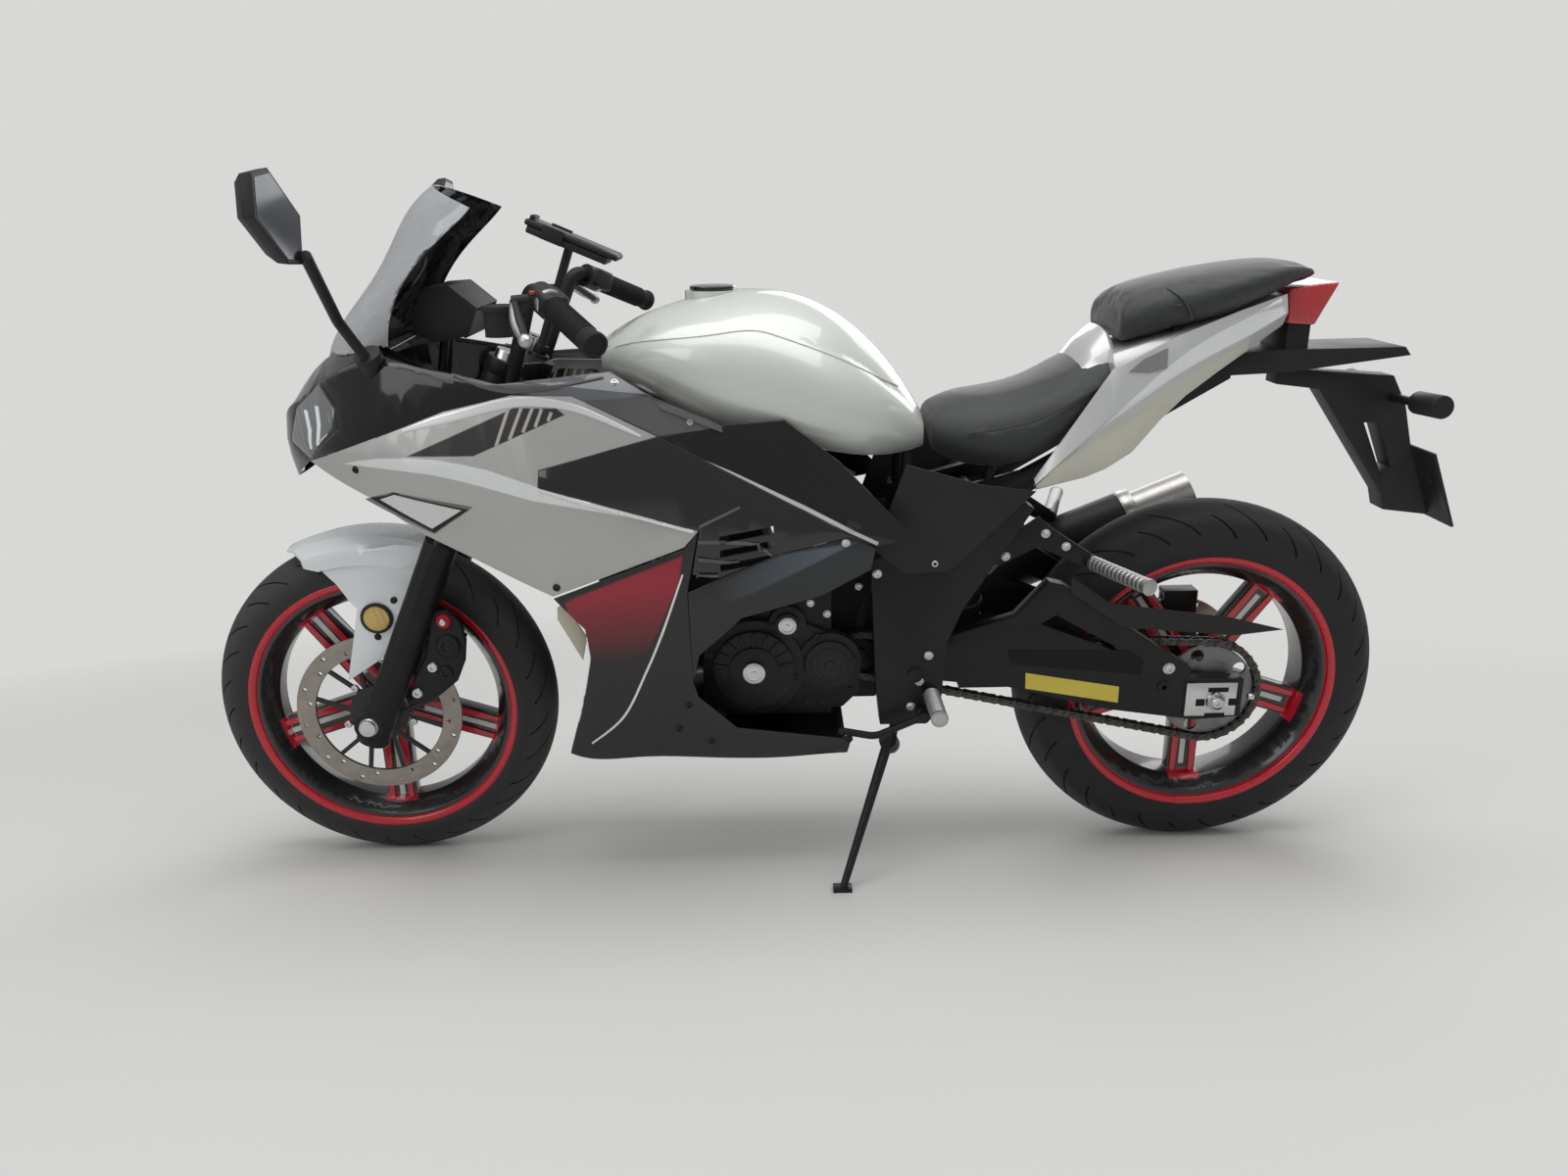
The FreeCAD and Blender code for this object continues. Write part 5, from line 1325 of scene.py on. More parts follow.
@dataclass
class Bolts:
    """Socket head bolts on the skins of the nodes."""

    rows: Sequence[BoltRow]

    def build(self) -> None:
        """Set every row of bolts."""
        for row in self.rows:
            r, h = row.radius, row.radius * row.height
            piece = Piece(f"{row.name}_bolts", row.tone.value, BODY_OF[row.node])
            piece.turned([(r * 1.35, -0.0012), (r * 1.35, 0.0004), (r * 1.2, 0.0010), (r, 0.0010),
                          (r, h * 0.8), (r * 0.86, h), (r * 0.52, h), (r * 0.48, h * 0.45),
                          (r * 0.1, h * 0.4)], 18)
            places = [facing(*Skin.spot(row.node, *metres(spot), side)) for side in row.sides
                      for spot in row.spots]
            piece.repeat(places).done(smooth=30.0)
        LOG.info("set %d rows of bolts", len(self.rows))


@dataclass(frozen=True)
class Line:
    """One raised line on a panel, its points and widths in millimetres."""

    name: str
    node: str
    points: Outline
    widths: Sequence[float]
    tone: Tone
    height: float = 0.0012
    sides: Sequence[int] = PAIR


@dataclass
class Trim:
    """Raised lines, lips and folds of the panels; the pale strips carry a painted highlight."""

    lines: Sequence[Line]

    def build(self) -> None:
        """Lay every line on its panel."""
        for line in self.lines:
            points = [metres(point) for point in line.points]
            for side in line.sides:
                piece = Piece(f"{line.name}_{WORD[side]}", line.tone.value, BODY_OF[line.node])
                piece.ribbon(line.node, points, metres(line.widths), line.height, side).done(smooth=50.0)
        LOG.info("laid %d lines", len(self.lines))


@dataclass(frozen=True)
class Patch:
    """One thin flat area laid on a node: its outline in millimetres and how far it stands out."""

    name: str
    node: str
    outline: Outline
    tone: Tone
    height: float = 0.0012
    sides: Sequence[int] = PAIR


@dataclass
class Patches:
    """Lenses, labels, plates, recess floors painted dark as shade and a grey patch painted as a reflection,
    all following the skin under them.
    """

    patches: Sequence[Patch]

    def build(self) -> None:
        """Lay every patch."""
        for patch in self.patches:
            for side in patch.sides:
                piece = Piece(f"{patch.name}_{WORD[side]}", patch.tone.value, BODY_OF[patch.node])
                piece.start("circle", vertices=len(patch.outline), radius=1.0, fill_type="NGON")
                for vertex, (x, z) in zip(piece.obj.data.vertices, map(metres, patch.outline)):
                    vertex.co = (x, 0.0, z)
                piece.edit(("select_all", {"action": "SELECT"}), ("quads_convert_to_tris", {}),
                           ("subdivide", {"number_cuts": 5}))
                for vertex in piece.obj.data.vertices:
                    spot, normal = Skin.spot(patch.node, vertex.co.x, vertex.co.z, side)
                    vertex.co = spot + normal * patch.height
                piece.outward()
                outward = sum(face.normal.y * face.area for face in piece.obj.data.polygons) * side
                offset = -1.0 if outward > 0.0 else 1.0
                piece.modify("SOLIDIFY", thickness=patch.height + SINK, offset=offset).done(smooth=40.0)
        LOG.info("laid %d patches", len(self.patches))


@dataclass
class Mirrors:
    """Rims and glasses of the two mirrors."""

    centre: Point = (0.080, 0.395, 1.108)
    tilt: float = math.radians(32.0)
    corners: Outline = ((-0.080, -0.020), (-0.060, 0.038), (0.040, 0.042), (0.080, 0.010),
                        (0.060, -0.038), (-0.040, -0.042))

    def build(self) -> None:
        """Make both glasses and rims."""
        shell = Piece("mirrors_shaped", node_finish("mirrors")).copy_node("mirrors").bevel(0.006, 3, 20.0)
        shell.done("mirrors", smooth=50.0)
        for side in PAIR:
            place = Matrix.Translation(beside(self.centre, side)) @ Matrix.Rotation(side * self.tilt, 4, "X")
            for name, tone, share, near, far in (("glass", Tone.MIRROR, 0.90, -0.001, 0.0012),
                                                 ("frame", Tone.PLASTIC, 0.97, -0.004, 0.0006)):
                loops = [[(x, side * y * share, z * share) for y, z in self.corners] for x in (near, far)]
                piece = Piece(f"mirror_{name}_{WORD[side]}", tone.value).rings(loops)
                piece.bevel(0.0006, 1).move(place).done(smooth=30.0)
        LOG.info("mirrors glazed")


@dataclass
class Turned:
    """Small turned pieces, each a profile stood on a place in a direction."""

    def lathe(self, name: str, tone: Tone, body: str, profile: Outline, origin: Point, axis: Point,
              segments: int = 32) -> None:
        """Make one turned piece.

        Args:
            name: The piece's name.
            tone: Its finish.
            body: The body that carries it.
            profile: Radius and height of each ring, in millimetres.
            origin: Its place, in millimetres.
            axis: The direction it stands in.
            segments: Points round its axis.
        """
        rings = [metres(ring) for ring in profile]
        Piece(name, tone.value, body).turned(rings, segments).stand(metres(origin), axis).done(smooth=30.0)


@dataclass
class WheelDetails(Turned):
    """The raised red lips of a wheel's rim and the bolts of its brake disc."""

    wheel: str
    axle: Point
    flange: float
    flank: float
    disc_face: float
    bolt_circle: float = 0.059
    bolts: int = 5
    first_bolt: float = 127.5

    def build(self) -> None:
        """Make the lips and the bolts."""
        body = BODY_OF[f"{self.wheel}_rim"]
        low, high = self.flange - 0.0012, self.flank + 0.0006
        profile = [(0.2180, low), (0.2180, low + 0.003), (0.2200, high - 0.0030),
                   (0.2235, high - 0.0008), (0.2270, high), (0.2300, high), (0.2316, high - 0.0016),
                   (0.2316, low + 0.002), (0.2180, low)]
        for side in PAIR:
            lip = Piece(f"{self.wheel}_rim_lip_{WORD[side]}", Tone.LIP.value, body)
            lip.turned(profile, 112, ring=True).stand(self.axle, (0, side, 0)).done(smooth=50.0)
        if not self.bolts:
            return
        face = math.copysign(1.0, self.disc_face)
        bolt = Piece(f"{self.wheel}_disc_bolts", Tone.STEEL.value, body)
        bolt.turned([(0.0070, -0.0005), (0.0070, 0.0012), (0.0056, 0.0030), (0.0030, 0.0030),
                     (0.0028, 0.0012), (0.0003, 0.0012)], 20)
        places = []
        for step in range(self.bolts):
            turn = math.radians(self.first_bolt) + 2.0 * math.pi * step / self.bolts
            places.append(facing((self.axle[0] + self.bolt_circle * math.cos(turn), self.disc_face,
                                  self.axle[2] + self.bolt_circle * math.sin(turn)), (0, face, 0)))
        bolt.repeat(places)
        bolt.done(smooth=40.0)
        LOG.info("%s wheel dressed", self.wheel)


@dataclass
class ForkDetails(Turned):
    """Reflector, axle ends, the brake caliper's cover with its bolts and its red hose ring."""

    cover: Outline = ((0.116, 0.490), (0.145, 0.494), (0.165, 0.472), (0.171, 0.438), (0.166, 0.402),
                      (0.150, 0.366), (0.118, 0.340), (0.082, 0.324), (0.066, 0.338), (0.078, 0.372),
                      (0.100, 0.410), (0.110, 0.448))
    face: float = -0.1100
    reflector: tuple[float, float] = (21.0, 471.0)

    def caliper(self) -> None:
        """Make the brake caliper's cover and what stands on it."""
        cover = Piece("caliper_cover", Tone.CASTING.value, "steering")
        cover.slab(self.cover, -0.0980, self.face).bevel(0.0045, 3, 40.0).done(smooth=40.0)
        bolt = [(9, -2), (9, 3), (7.5, 5), (4, 5), (3.6, 2), (0.5, 2)]
        for name, tone, x, z, profile in (
                ("caliper_bolt_upper", Tone.STEEL, 112, 393, bolt),
                ("caliper_bolt_lower", Tone.STEEL, 82, 347, bolt),
                ("caliper_piston_cap", Tone.CASTING, 142, 430,
                 [(20, -3), (20, 3), (17, 6), (11, 6), (9, 4), (0.5, 4)]),
                ("caliper_pad_cap", Tone.CASTING, 133, 382,
                 [(12, -3), (12, 2), (10, 4), (6, 4), (5, 2), (0.5, 2)]),
                ("hose_ring", Tone.RED_KEY, 139, 474, [(12, -3), (12, 4), (10, 6.5), (6, 6.5), (0.5, 6.5)]),
                ("hose_bolt", Tone.STEEL, 139, 474, [(6, 5), (6, 10), (4.5, 11.5), (2.5, 11.5), (0.5, 10)])):
            self.lathe(name, tone, "steering", profile, (x, self.face * MILLIMETRES, z), (0, -1, 0))

    def build(self) -> None:
        """Make the pieces."""
        x, z = self.reflector
        skin, _ = Skin.spot("front_fender", *metres(self.reflector))
        spot = (x, skin.y * MILLIMETRES, z)
        self.lathe("reflector_ring", Tone.PLASTIC, "steering",
                   [(26, -1), (27, 3), (26, 6), (22, 7), (21, 4)], spot, (0, -1, 0))
        self.lathe("reflector_lens", Tone.AMBER, "steering",
                   [(21.5, 3), (21.5, 5.5), (17, 7), (6, 7.6), (0.5, 7.8)], spot, (0, -1, 0))
        for side in PAIR:
            self.lathe(f"axle_end_{WORD[side]}", Tone.STEEL, "steering",
                       [(17, -6), (17, 1), (15, 4), (10, 4), (9, 0), (0.5, 0)],
                       (0.0, side * 129.0, FRONT_AXLE[2] * MILLIMETRES), (0, side, 0))
        self.caliper()
        LOG.info("fork dressed")


@dataclass
class Cockpit(Turned):
    """Bar ends, grip ribs, switches, levers, reservoir caps and the telephone on its holder.

    The grip's ends are in millimetres, the holder's place in metres.
    """

    inner: Point = (374.0, 240.0, 987.0)
    outer: Point = (447.0, 343.0, 943.0)
    ribs: int = 17
    rib_pitch: float = 0.0062
    holder: Point = (0.368, 0.0, 1.052)
    holder_tilt: float = 23.0

    def ends(self, side: int) -> tuple[Vector, Vector, Vector]:
        """The grip's inner end, its outer end and the direction between them."""
        inner, outer = Vector(beside(self.inner, side)), Vector(beside(self.outer, side))
        return inner, outer, (outer - inner).normalized()

    def grip(self, side: int) -> None:
        """Make one grip's end, collar and ribs."""
        inner, outer, lead = self.ends(side)
        self.lathe(f"bar_end_{WORD[side]}", Tone.RUBBER, "steering",
                   [(17.5, -3), (18.5, 0), (18.5, 5), (17.5, 7), (13, 8), (12, 6.5), (0.5, 6.5)],
                   tuple(outer), tuple(lead))
        self.lathe(f"grip_collar_{WORD[side]}", Tone.ALLOY, "steering",
                   [(18.5, -4), (20.5, -3), (20.5, 4), (18.5, 5), (17, 5), (0.5, 5)],
                   tuple(inner), tuple(lead))
        ribs = Piece(f"grip_ribs_{WORD[side]}", Tone.RUBBER.value, "steering")
        ribs.turned([(0.0160, -0.0012), (0.0178, -0.0008), (0.0178, 0.0008), (0.0160, 0.0012)], 24)
        first, turn = inner / MILLIMETRES, facing((0, 0, 0), tuple(lead))
        ribs.repeat([Matrix.Translation(first + lead * (0.012 + self.rib_pitch * number)) @ turn
                     for number in range(self.ribs)]).done(smooth=40.0)

    def controls(self, side: int) -> None:
        """Make one side's reservoir cap, lever, switch box and key."""
        inner, outer, lead = self.ends(side)
        word = WORD[side]
        perch = inner - lead * 18.0
        cup = perch + Vector((-70.0, -side * 28.0, -36.0))
        self.lathe(f"reservoir_cap_{word}", Tone.PLASTIC, "steering",
                   [(24.5, 17), (25, 21), (23.5, 25), (20, 26), (19, 24.5), (0.5, 24.5)],
                   tuple(cup), (0, 0, 1))
        ball = outer + Vector((-92.0, -side * 12.0, 4.0))
        self.lathe(f"lever_ball_{word}", Tone.ALLOY, "steering",
                   [(2, -9), (6, -7.5), (8.6, -4), (9.2, 0), (8.6, 4), (6, 7.5), (2, 9)], tuple(ball),
                   tuple(lead))
        start = perch + Vector((-42.0, 0.0, -4.0))
        middle = (start + ball) / 2.0 + Vector((-12.0, side * 8.0, -6.0))
        lever = Piece(f"lever_blade_{word}", Tone.ALLOY.value, "steering")
        lever.tube([metres(point) for point in (start, middle, ball)], 0.0052).done(smooth=60.0)
        switch = Piece(f"switch_box_{word}", Tone.PLASTIC.value, "steering")
        spot = inner - lead * 2.0 + Vector((2.0, 0.0, 0.0))
        switch.block((0.040, 0.034, 0.044), 0.007).stand(metres(spot), tuple(lead)).done(smooth=40.0)
        key = Piece(f"switch_key_{word}", (Tone.RED if side == LEFT else Tone.RED_KEY).value, "steering")
        spot = inner - lead * 4.0 + Vector((-19.0, -4.0, 14.0))
        key.block((0.010, 0.008, 0.005), 0.0016).move(Matrix.Translation(metres(spot))).done()

    def telephone(self) -> None:
        """Make the telephone and its dark screen."""
        turn = Matrix.Translation(self.holder) @ Matrix.Rotation(math.radians(self.holder_tilt), 4, "Y")
        case = Piece("telephone_case", Tone.PLASTIC.value, "steering").block((0.150, 0.073, 0.009), 0.003)
        case.move(turn @ Matrix.Translation((0.004, 0.0, 0.0150))).done()
        screen = Piece("telephone_screen", Tone.GLASS.value, "steering")
        screen.block((0.142, 0.066, 0.0012), 0.0004)
        screen.move(turn @ Matrix.Translation((0.004, 0.0, 0.0199))).done()

    def build(self) -> None:
        """Make the pieces."""
        for side in PAIR:
            self.grip(side)
            self.controls(side)
        self.telephone()
        LOG.info("cockpit dressed")


@dataclass
class EngineDetails(Turned):
    """Caps of the engine's left covers, the radiator's core and the shock's spring."""

    caps: Sequence[tuple[str, Tone, Point, float]] = (("crank_cap", Tone.STEEL, (645, -170, 396), 15.5),
                                                      ("timing_cap", Tone.STEEL, (700, -152, 470), 12.0),
                                                      ("shaft_cap", Tone.PLASTIC, (768, -154, 402), 26.0))
    fins: int = 24
    fin_pitch: float = 0.0078
    coil_foot: Point = (1.0052, 0.0, 0.425)
    coil_radius: float = 0.034
    coil_rise: float = 0.0048
    coil_steps: int = 42
    steps_a_turn: float = 7.0

    def build(self) -> None:
        """Make the pieces."""
        for name, tone, place, radius in self.caps:
            self.lathe(name, tone, "chassis",
                       [(radius + 2.5, -3), (radius + 2.5, 1), (radius, 2.2), (radius * 0.82, 2.6),
                        (radius * 0.78, 1.2), (radius * 0.3, 1.2), (radius * 0.26, 3), (0.5, 3)],
                       place, (0, -1, 0))
        fins = Piece("radiator_fins", Tone.RADIATOR.value).block((0.0380, 0.2560, 0.0014), 0.0004, 1)
        fins.repeat([Matrix.Translation((0.4215, 0.0, 0.440 + self.fin_pitch * row))
                     for row in range(self.fins)]).done()
        tanks = Piece("radiator_tanks", Tone.PLASTIC.value).block((0.046, 0.022, 0.206), 0.005)
        tanks.move(Matrix.Translation((0.422, -0.121, 0.530))).twin().done()
        x, y, z = self.coil_foot
        coil = []
        for step in range(self.coil_steps):
            turn = 2.0 * math.pi * step / self.steps_a_turn
            coil.append((x + self.coil_radius * math.cos(turn), y + self.coil_radius * math.sin(turn),
                         z + self.coil_rise * step))
        spring = Piece("shock_coil", Tone.SPRING.value)
        spring.tube(coil, 0.0056, 3).done(smooth=60.0)
        LOG.info("engine dressed")


@dataclass
class RearDetails(Turned):
    """Axle nuts, chain adjusters and the silencer's bands, the silencer's ends in millimetres."""

    block_face: float = 0.1301
    slots: Sequence[tuple[float, float, float, float]] = (
        (1.4185, 0.3345, 1.0, 1.0), (1.4160, 0.2880, 1.0, 1.0), (1.4455, 0.3120, 0.45, 1.5),
        (1.3900, 0.3120, 0.45, 1.5))
    silencer: tuple[Point, Point] = ((1067, 190, 436), (1357, 193, 552))

    def axle(self, side: int) -> None:
        """Make one end of the rear axle with its adjuster."""
        word, (x, _, z) = WORD[side], REAR_AXLE
        # The dark strips round the axle on the adjuster plates are painted shade.
        slots = Piece(f"adjuster_slots_{word}", Tone.RECESS_SHADE.value).block((0.034, 0.0016, 0.0085), 0.0006, 1)
        slots.repeat([Matrix.Translation((along, side * self.block_face, height))
                      @ Matrix.Diagonal((long, 1.0, high, 1.0)) for along, height, long, high in self.slots])
        slots.done()
        nut = Piece(f"rear_axle_nut_{word}", Tone.STEEL.value)
        nut.start("cylinder", vertices=6, radius=0.0175, depth=0.013).bevel(0.0012, 2)
        nut.stand((x, side * 0.1335, z), (0, side, 0)).done(smooth=30.0)
        self.lathe(f"axle_tip_{word}", Tone.STEEL, "chassis",
                   [(9, -8), (9, 3), (7.5, 4.5), (4, 4.5), (3.5, 2), (0.5, 2)],
                   (x * MILLIMETRES, side * 140.0, z * MILLIMETRES), (0, side, 0))
        screw = Piece(f"adjuster_screw_{word}", Tone.STEEL.value)
        screw.start("cylinder", vertices=6, radius=0.0065, depth=0.010).bevel(0.0008, 1)
        screw.stand((1.4815, side * 0.112, z - 0.002), (1, 0, 0)).done()

    def bands(self) -> None:
        """Make the silencer's bands, its strap and its sleeve."""
        start, end = map(Vector, self.silencer)
        way = (end - start).normalized()
        for name, tone, along, radius, wide in (("silencer_front_band", Tone.STEEL, 14.0, 51.5, 12.0),
                                                ("silencer_rear_band", Tone.STEEL, 298.0, 51.5, 12.0),
                                                ("silencer_strap", Tone.PLASTIC, 96.0, 52.0, 22.0)):
            self.lathe(name, tone, "chassis",
                       [(radius - 3, -wide / 2), (radius, -wide / 2 + 1), (radius, wide / 2 - 1),
                        (radius - 3, wide / 2)], tuple(start + way * along), tuple(way), 48)
        self.lathe("silencer_sleeve", Tone.PLASTIC, "chassis",
                   [(50.3, 22), (51.0, 24), (51.0, 288), (50.3, 290)], tuple(start), tuple(way), 48)

    def build(self) -> None:
        """Make the pieces."""
        for side in PAIR:
            self.axle(side)
        self.bands()
        LOG.info("rear dressed")


@dataclass
class Shells(Turned):
    """The screen's sheen, the tail's nose, deck and flanks, the belly's lips and the pegs' sleeves.

    The nose and the lip are side-view outlines, the arch gives y and the share of the nose's height, the
    deck's stations x, the foot's height and half width and the top's, and the flank's x, the top's height
    and y and the foot's. The pegs' ends and radii are in millimetres.
    """

    nose: Outline = ((1.158, 0.868), (1.178, 0.898), (1.203, 0.924), (1.211, 0.920), (1.211, 0.856),
                     (1.164, 0.856))
    arch: Outline = ((-0.088, 0.15), (-0.078, 0.55), (-0.055, 0.88), (-0.028, 0.98), (0.0, 1.0),
                     (0.028, 0.98), (0.055, 0.88), (0.078, 0.55), (0.088, 0.15))
    deck: Sequence[tuple[float, float, float, float, float]] = (
        (1.205, 0.860, 0.124, 0.888, 0.100), (1.230, 0.866, 0.122, 0.896, 0.100),
        (1.260, 0.880, 0.118, 0.906, 0.098), (1.292, 0.895, 0.112, 0.914, 0.096),
        (1.335, 0.913, 0.106, 0.926, 0.092), (1.385, 0.930, 0.100, 0.941, 0.088),
        (1.430, 0.946, 0.094, 0.957, 0.084), (1.468, 0.958, 0.088, 0.969, 0.080))
    flank: Sequence[tuple[float, float, float, float, float]] = (
        (1.089, 0.694, 0.1490, 0.687, 0.1470), (1.135, 0.738, 0.1425, 0.694, 0.1330),
        (1.170, 0.764, 0.1385, 0.701, 0.1280), (1.202, 0.787, 0.1350, 0.713, 0.1240),
        (1.243, 0.812, 0.1280, 0.738, 0.1190), (1.284, 0.840, 0.1220, 0.787, 0.1150),
        (1.321, 0.866, 0.1170, 0.823, 0.1110), (1.372, 0.898, 0.1090, 0.860, 0.1040),
        (1.416, 0.918, 0.1010, 0.890, 0.0980))
    lip: Outline = ((0.343, 0.525), (0.355, 0.532), (0.386, 0.474), (0.377, 0.436), (0.342, 0.505))
    pegs: Sequence[tuple[str, Point, Point, float]] = (
        ("rider", (932, 176, 356), (932, 268, 356), 13.2),
        ("pillion", (1186, 150, 566.4), (1232, 288, 571.9), 12.2))
    peg_grooves: int = 14

    def screen(self) -> None:
        """Lay the sheen on the windscreen's outer face."""
        sheen = Piece("screen_sheen", Tone.SHEEN.value).copy_node("windscreen")
        sheen.pick(lambda middle, normal: (middle - Vector((0.25, 0.0, middle.z))).dot(normal) <= 0.02)
        sheen.edit(("delete", {"type": "FACE"}))
        sheen.modify("SOLIDIFY", thickness=0.0008, offset=1.0).done(smooth=50.0)

    def tail(self) -> None:
        """Make the nose and the deck between the two seats."""
        base = self.nose[-1][1]
        hood = Piece("tail_nose", Tone.SILVER.value)
        hood.rings([[(x + (1.0 - share) * 0.012, y, base + (z - base) * share) for x, z in self.nose]
                    for y, share in self.arch]).bevel(0.002, 2).done(smooth=50.0)
        deck = Piece("tail_deck", Tone.SILVER.value)
        deck.rings([((x, -foot, low), (x, -wide, high), (x, wide, high), (x, foot, low))
                    for x, low, foot, high, wide in self.deck]).bevel(0.003, 2).done(smooth=50.0)

    def panels(self, side: int) -> None:
        """Make one side's tail flank and belly lip."""
        skirt = Piece(f"tail_flank_{WORD[side]}", Tone.FLANK.value)
        skirt.rings([((x, side * (wide - 0.001), high), (x, side * foot, low),
                      (x, side * (foot - 0.004), low), (x, side * (wide - 0.006), high))
                     for x, high, wide, low, foot in self.flank])
        skirt.bevel(0.0008, 1).done(smooth=50.0)
        flap = Piece(f"belly_lip_{WORD[side]}", Tone.CREAM.value)
        flap.slab(self.lip, side * 0.196, side * 0.200).bevel(0.0012, 2).done(smooth=40.0)

    def sleeves(self, side: int) -> None:
        """Make the grooved sleeves of one side's pegs."""
        for name, root, tip, radius in self.pegs:
            start, end = beside(root, side), beside(tip, side)
            long = (Vector(end) - Vector(start)).length
            way = (Vector(end) - Vector(start)).normalized()
            profile = [(radius * 0.94, 0.0)]
            for step in range(self.peg_grooves):
                low = long * (step + 0.15) / self.peg_grooves
                profile += [(radius, low), (radius, low + long * 0.04), (radius * 0.94, low + long * 0.052)]
            profile += [(radius * 1.05, long - 4.0), (radius * 1.05, long + 1.0),
                        (radius * 0.8, long + 2.5), (0.5, long + 2.5)]
            self.lathe(f"{name}_peg_sleeve_{WORD[side]}", Tone.ALLOY, "chassis", profile, start,
                       tuple(way), 20)

    def build(self) -> None:
        """Make the pieces."""
        self.screen()
        self.tail()
        for side in PAIR:
            self.panels(side)
            self.sleeves(side)
        LOG.info("shells laid")


@dataclass
class Dressing:
    """Gives every node of the CAD frame its procedural finish."""

    nodes: dict = field(default_factory=lambda: frame["nodes"])

    def build(self) -> None:
        """Replace the plain materials of all the nodes."""
        for name, node in self.nodes.items():
            node.data.materials.clear()
            node.data.materials.append(node_finish(name).material())
        LOG.info("dressed %d nodes", len(self.nodes))


@dataclass
class Studio:
    """Pale floor, soft lamps, world and the camera at the photograph's place."""

    eye: Point = (-0.0707, -1.8473, 0.7041)
    yaw: float = -0.0104783
    pitch: float = -0.1165341
    roll: float = 0.0160120
    focal_pixels: float = 1177.1
    image_width: float = 1600.0
    sensor: float = 36.0
    pale: Colour = (0.80, 0.80, 0.79)
    lamps: Sequence[tuple[str, Point, Point, tuple[float, float], float]] = (
        ("overhead", (0.1, -0.6, 3.6), (0.0, 0.0, 0.5), (4.5, 3.0), 92.0),
        ("front_left", (-2.8, -2.6, 2.2), (-0.2, 0.0, 0.6), (2.0, 2.0), 26.0),
        ("right_side", (1.5, 3.2, 2.4), (0.0, 0.0, 0.6), (3.0, 2.0), 34.0))

    def camera(self) -> None:
        """Put the camera where the photograph was taken from."""
        data = bpy.data.cameras.new("camera")
        data.sensor_width = self.sensor
        data.lens = self.focal_pixels * self.sensor / self.image_width
        data.clip_start = 0.05
        eye = bpy.data.objects.new("camera", data)
        turn = (Matrix.Rotation(self.yaw, 4, "Z") @ Matrix.Rotation(self.pitch, 4, "X")
                @ Matrix.Rotation(self.roll, 4, "Y") @ Matrix.Rotation(math.pi / 2, 4, "X"))
        eye.matrix_world = Matrix.Translation(Vector(self.eye)) @ turn
        bpy.context.scene.collection.objects.link(eye)
        bpy.context.scene.camera = eye

    def lamp(self, name: str, place: Point, aim: Point, size: tuple[float, float], power: float) -> None:
        """Hang one soft box.

        Args:
            name: The lamp's name.
            place: Where it hangs.
            aim: The point it faces.
            size: Its width and height.
            power: Its power in watts.
        """
        data = bpy.data.lights.new(name, "AREA")
        data.shape = "RECTANGLE"
        data.size, data.size_y = size
        data.energy = power
        lamp = bpy.data.objects.new(name, data)
        lamp.location = place
        lamp.rotation_euler = (Vector(aim) - Vector(place)).to_track_quat("-Z", "Y").to_euler()
        bpy.context.scene.collection.objects.link(lamp)

    def floor(self) -> None:
        """Lay the pale floor."""
        bpy.ops.object.select_all(action="DESELECT")
        bpy.ops.mesh.primitive_plane_add(size=60.0, location=(0.0, 0.0, 0.0))
        floor = bpy.context.active_object
        floor.name = "floor"
        s = Sheet("pale_floor")
        colour = s.mix(s.noise(0.6, 3.0), (0.66, 0.66, 0.65), (0.70, 0.70, 0.69))
        x, y, _ = s.split(s.place())
        across = x - WHEELBASE / 2
        away = (across * across + y * y) ** 0.5
        pale = s.surface(Base_Color=colour, Roughness=0.75, Alpha=1.0 - away.over(1.3, 1.9))
        floor.data.materials.append(pale)

    def world(self) -> None:
        """A pale surround that lights softly and shows in gloss and glass."""
        world = bpy.data.worlds.new("surround")
        bpy.context.scene.world = world
        world.use_nodes = True
        tree = world.node_tree
        tree.nodes.clear()
        out = tree.nodes.new("ShaderNodeOutputWorld")
        mixer = tree.nodes.new("ShaderNodeMixShader")
        ray = tree.nodes.new("ShaderNodeLightPath")
        for slot, strength in ((1, 0.50), (2, 0.86)):
            back = tree.nodes.new("ShaderNodeBackground")
            back.inputs[0].default_value = (*self.pale, 1.0)
            back.inputs[1].default_value = strength
            tree.links.new(back.outputs[0], mixer.inputs[slot])
        tree.links.new(ray.outputs["Is Camera Ray"], mixer.inputs[0])
        tree.links.new(mixer.outputs[0], out.inputs[0])

    def build(self) -> None:
        """Set the whole studio."""
        self.camera()
        for lamp in self.lamps:
            self.lamp(*lamp)
        self.floor()
        self.world()
        bpy.context.scene.view_settings.view_transform = "Standard"
        LOG.info("studio set")


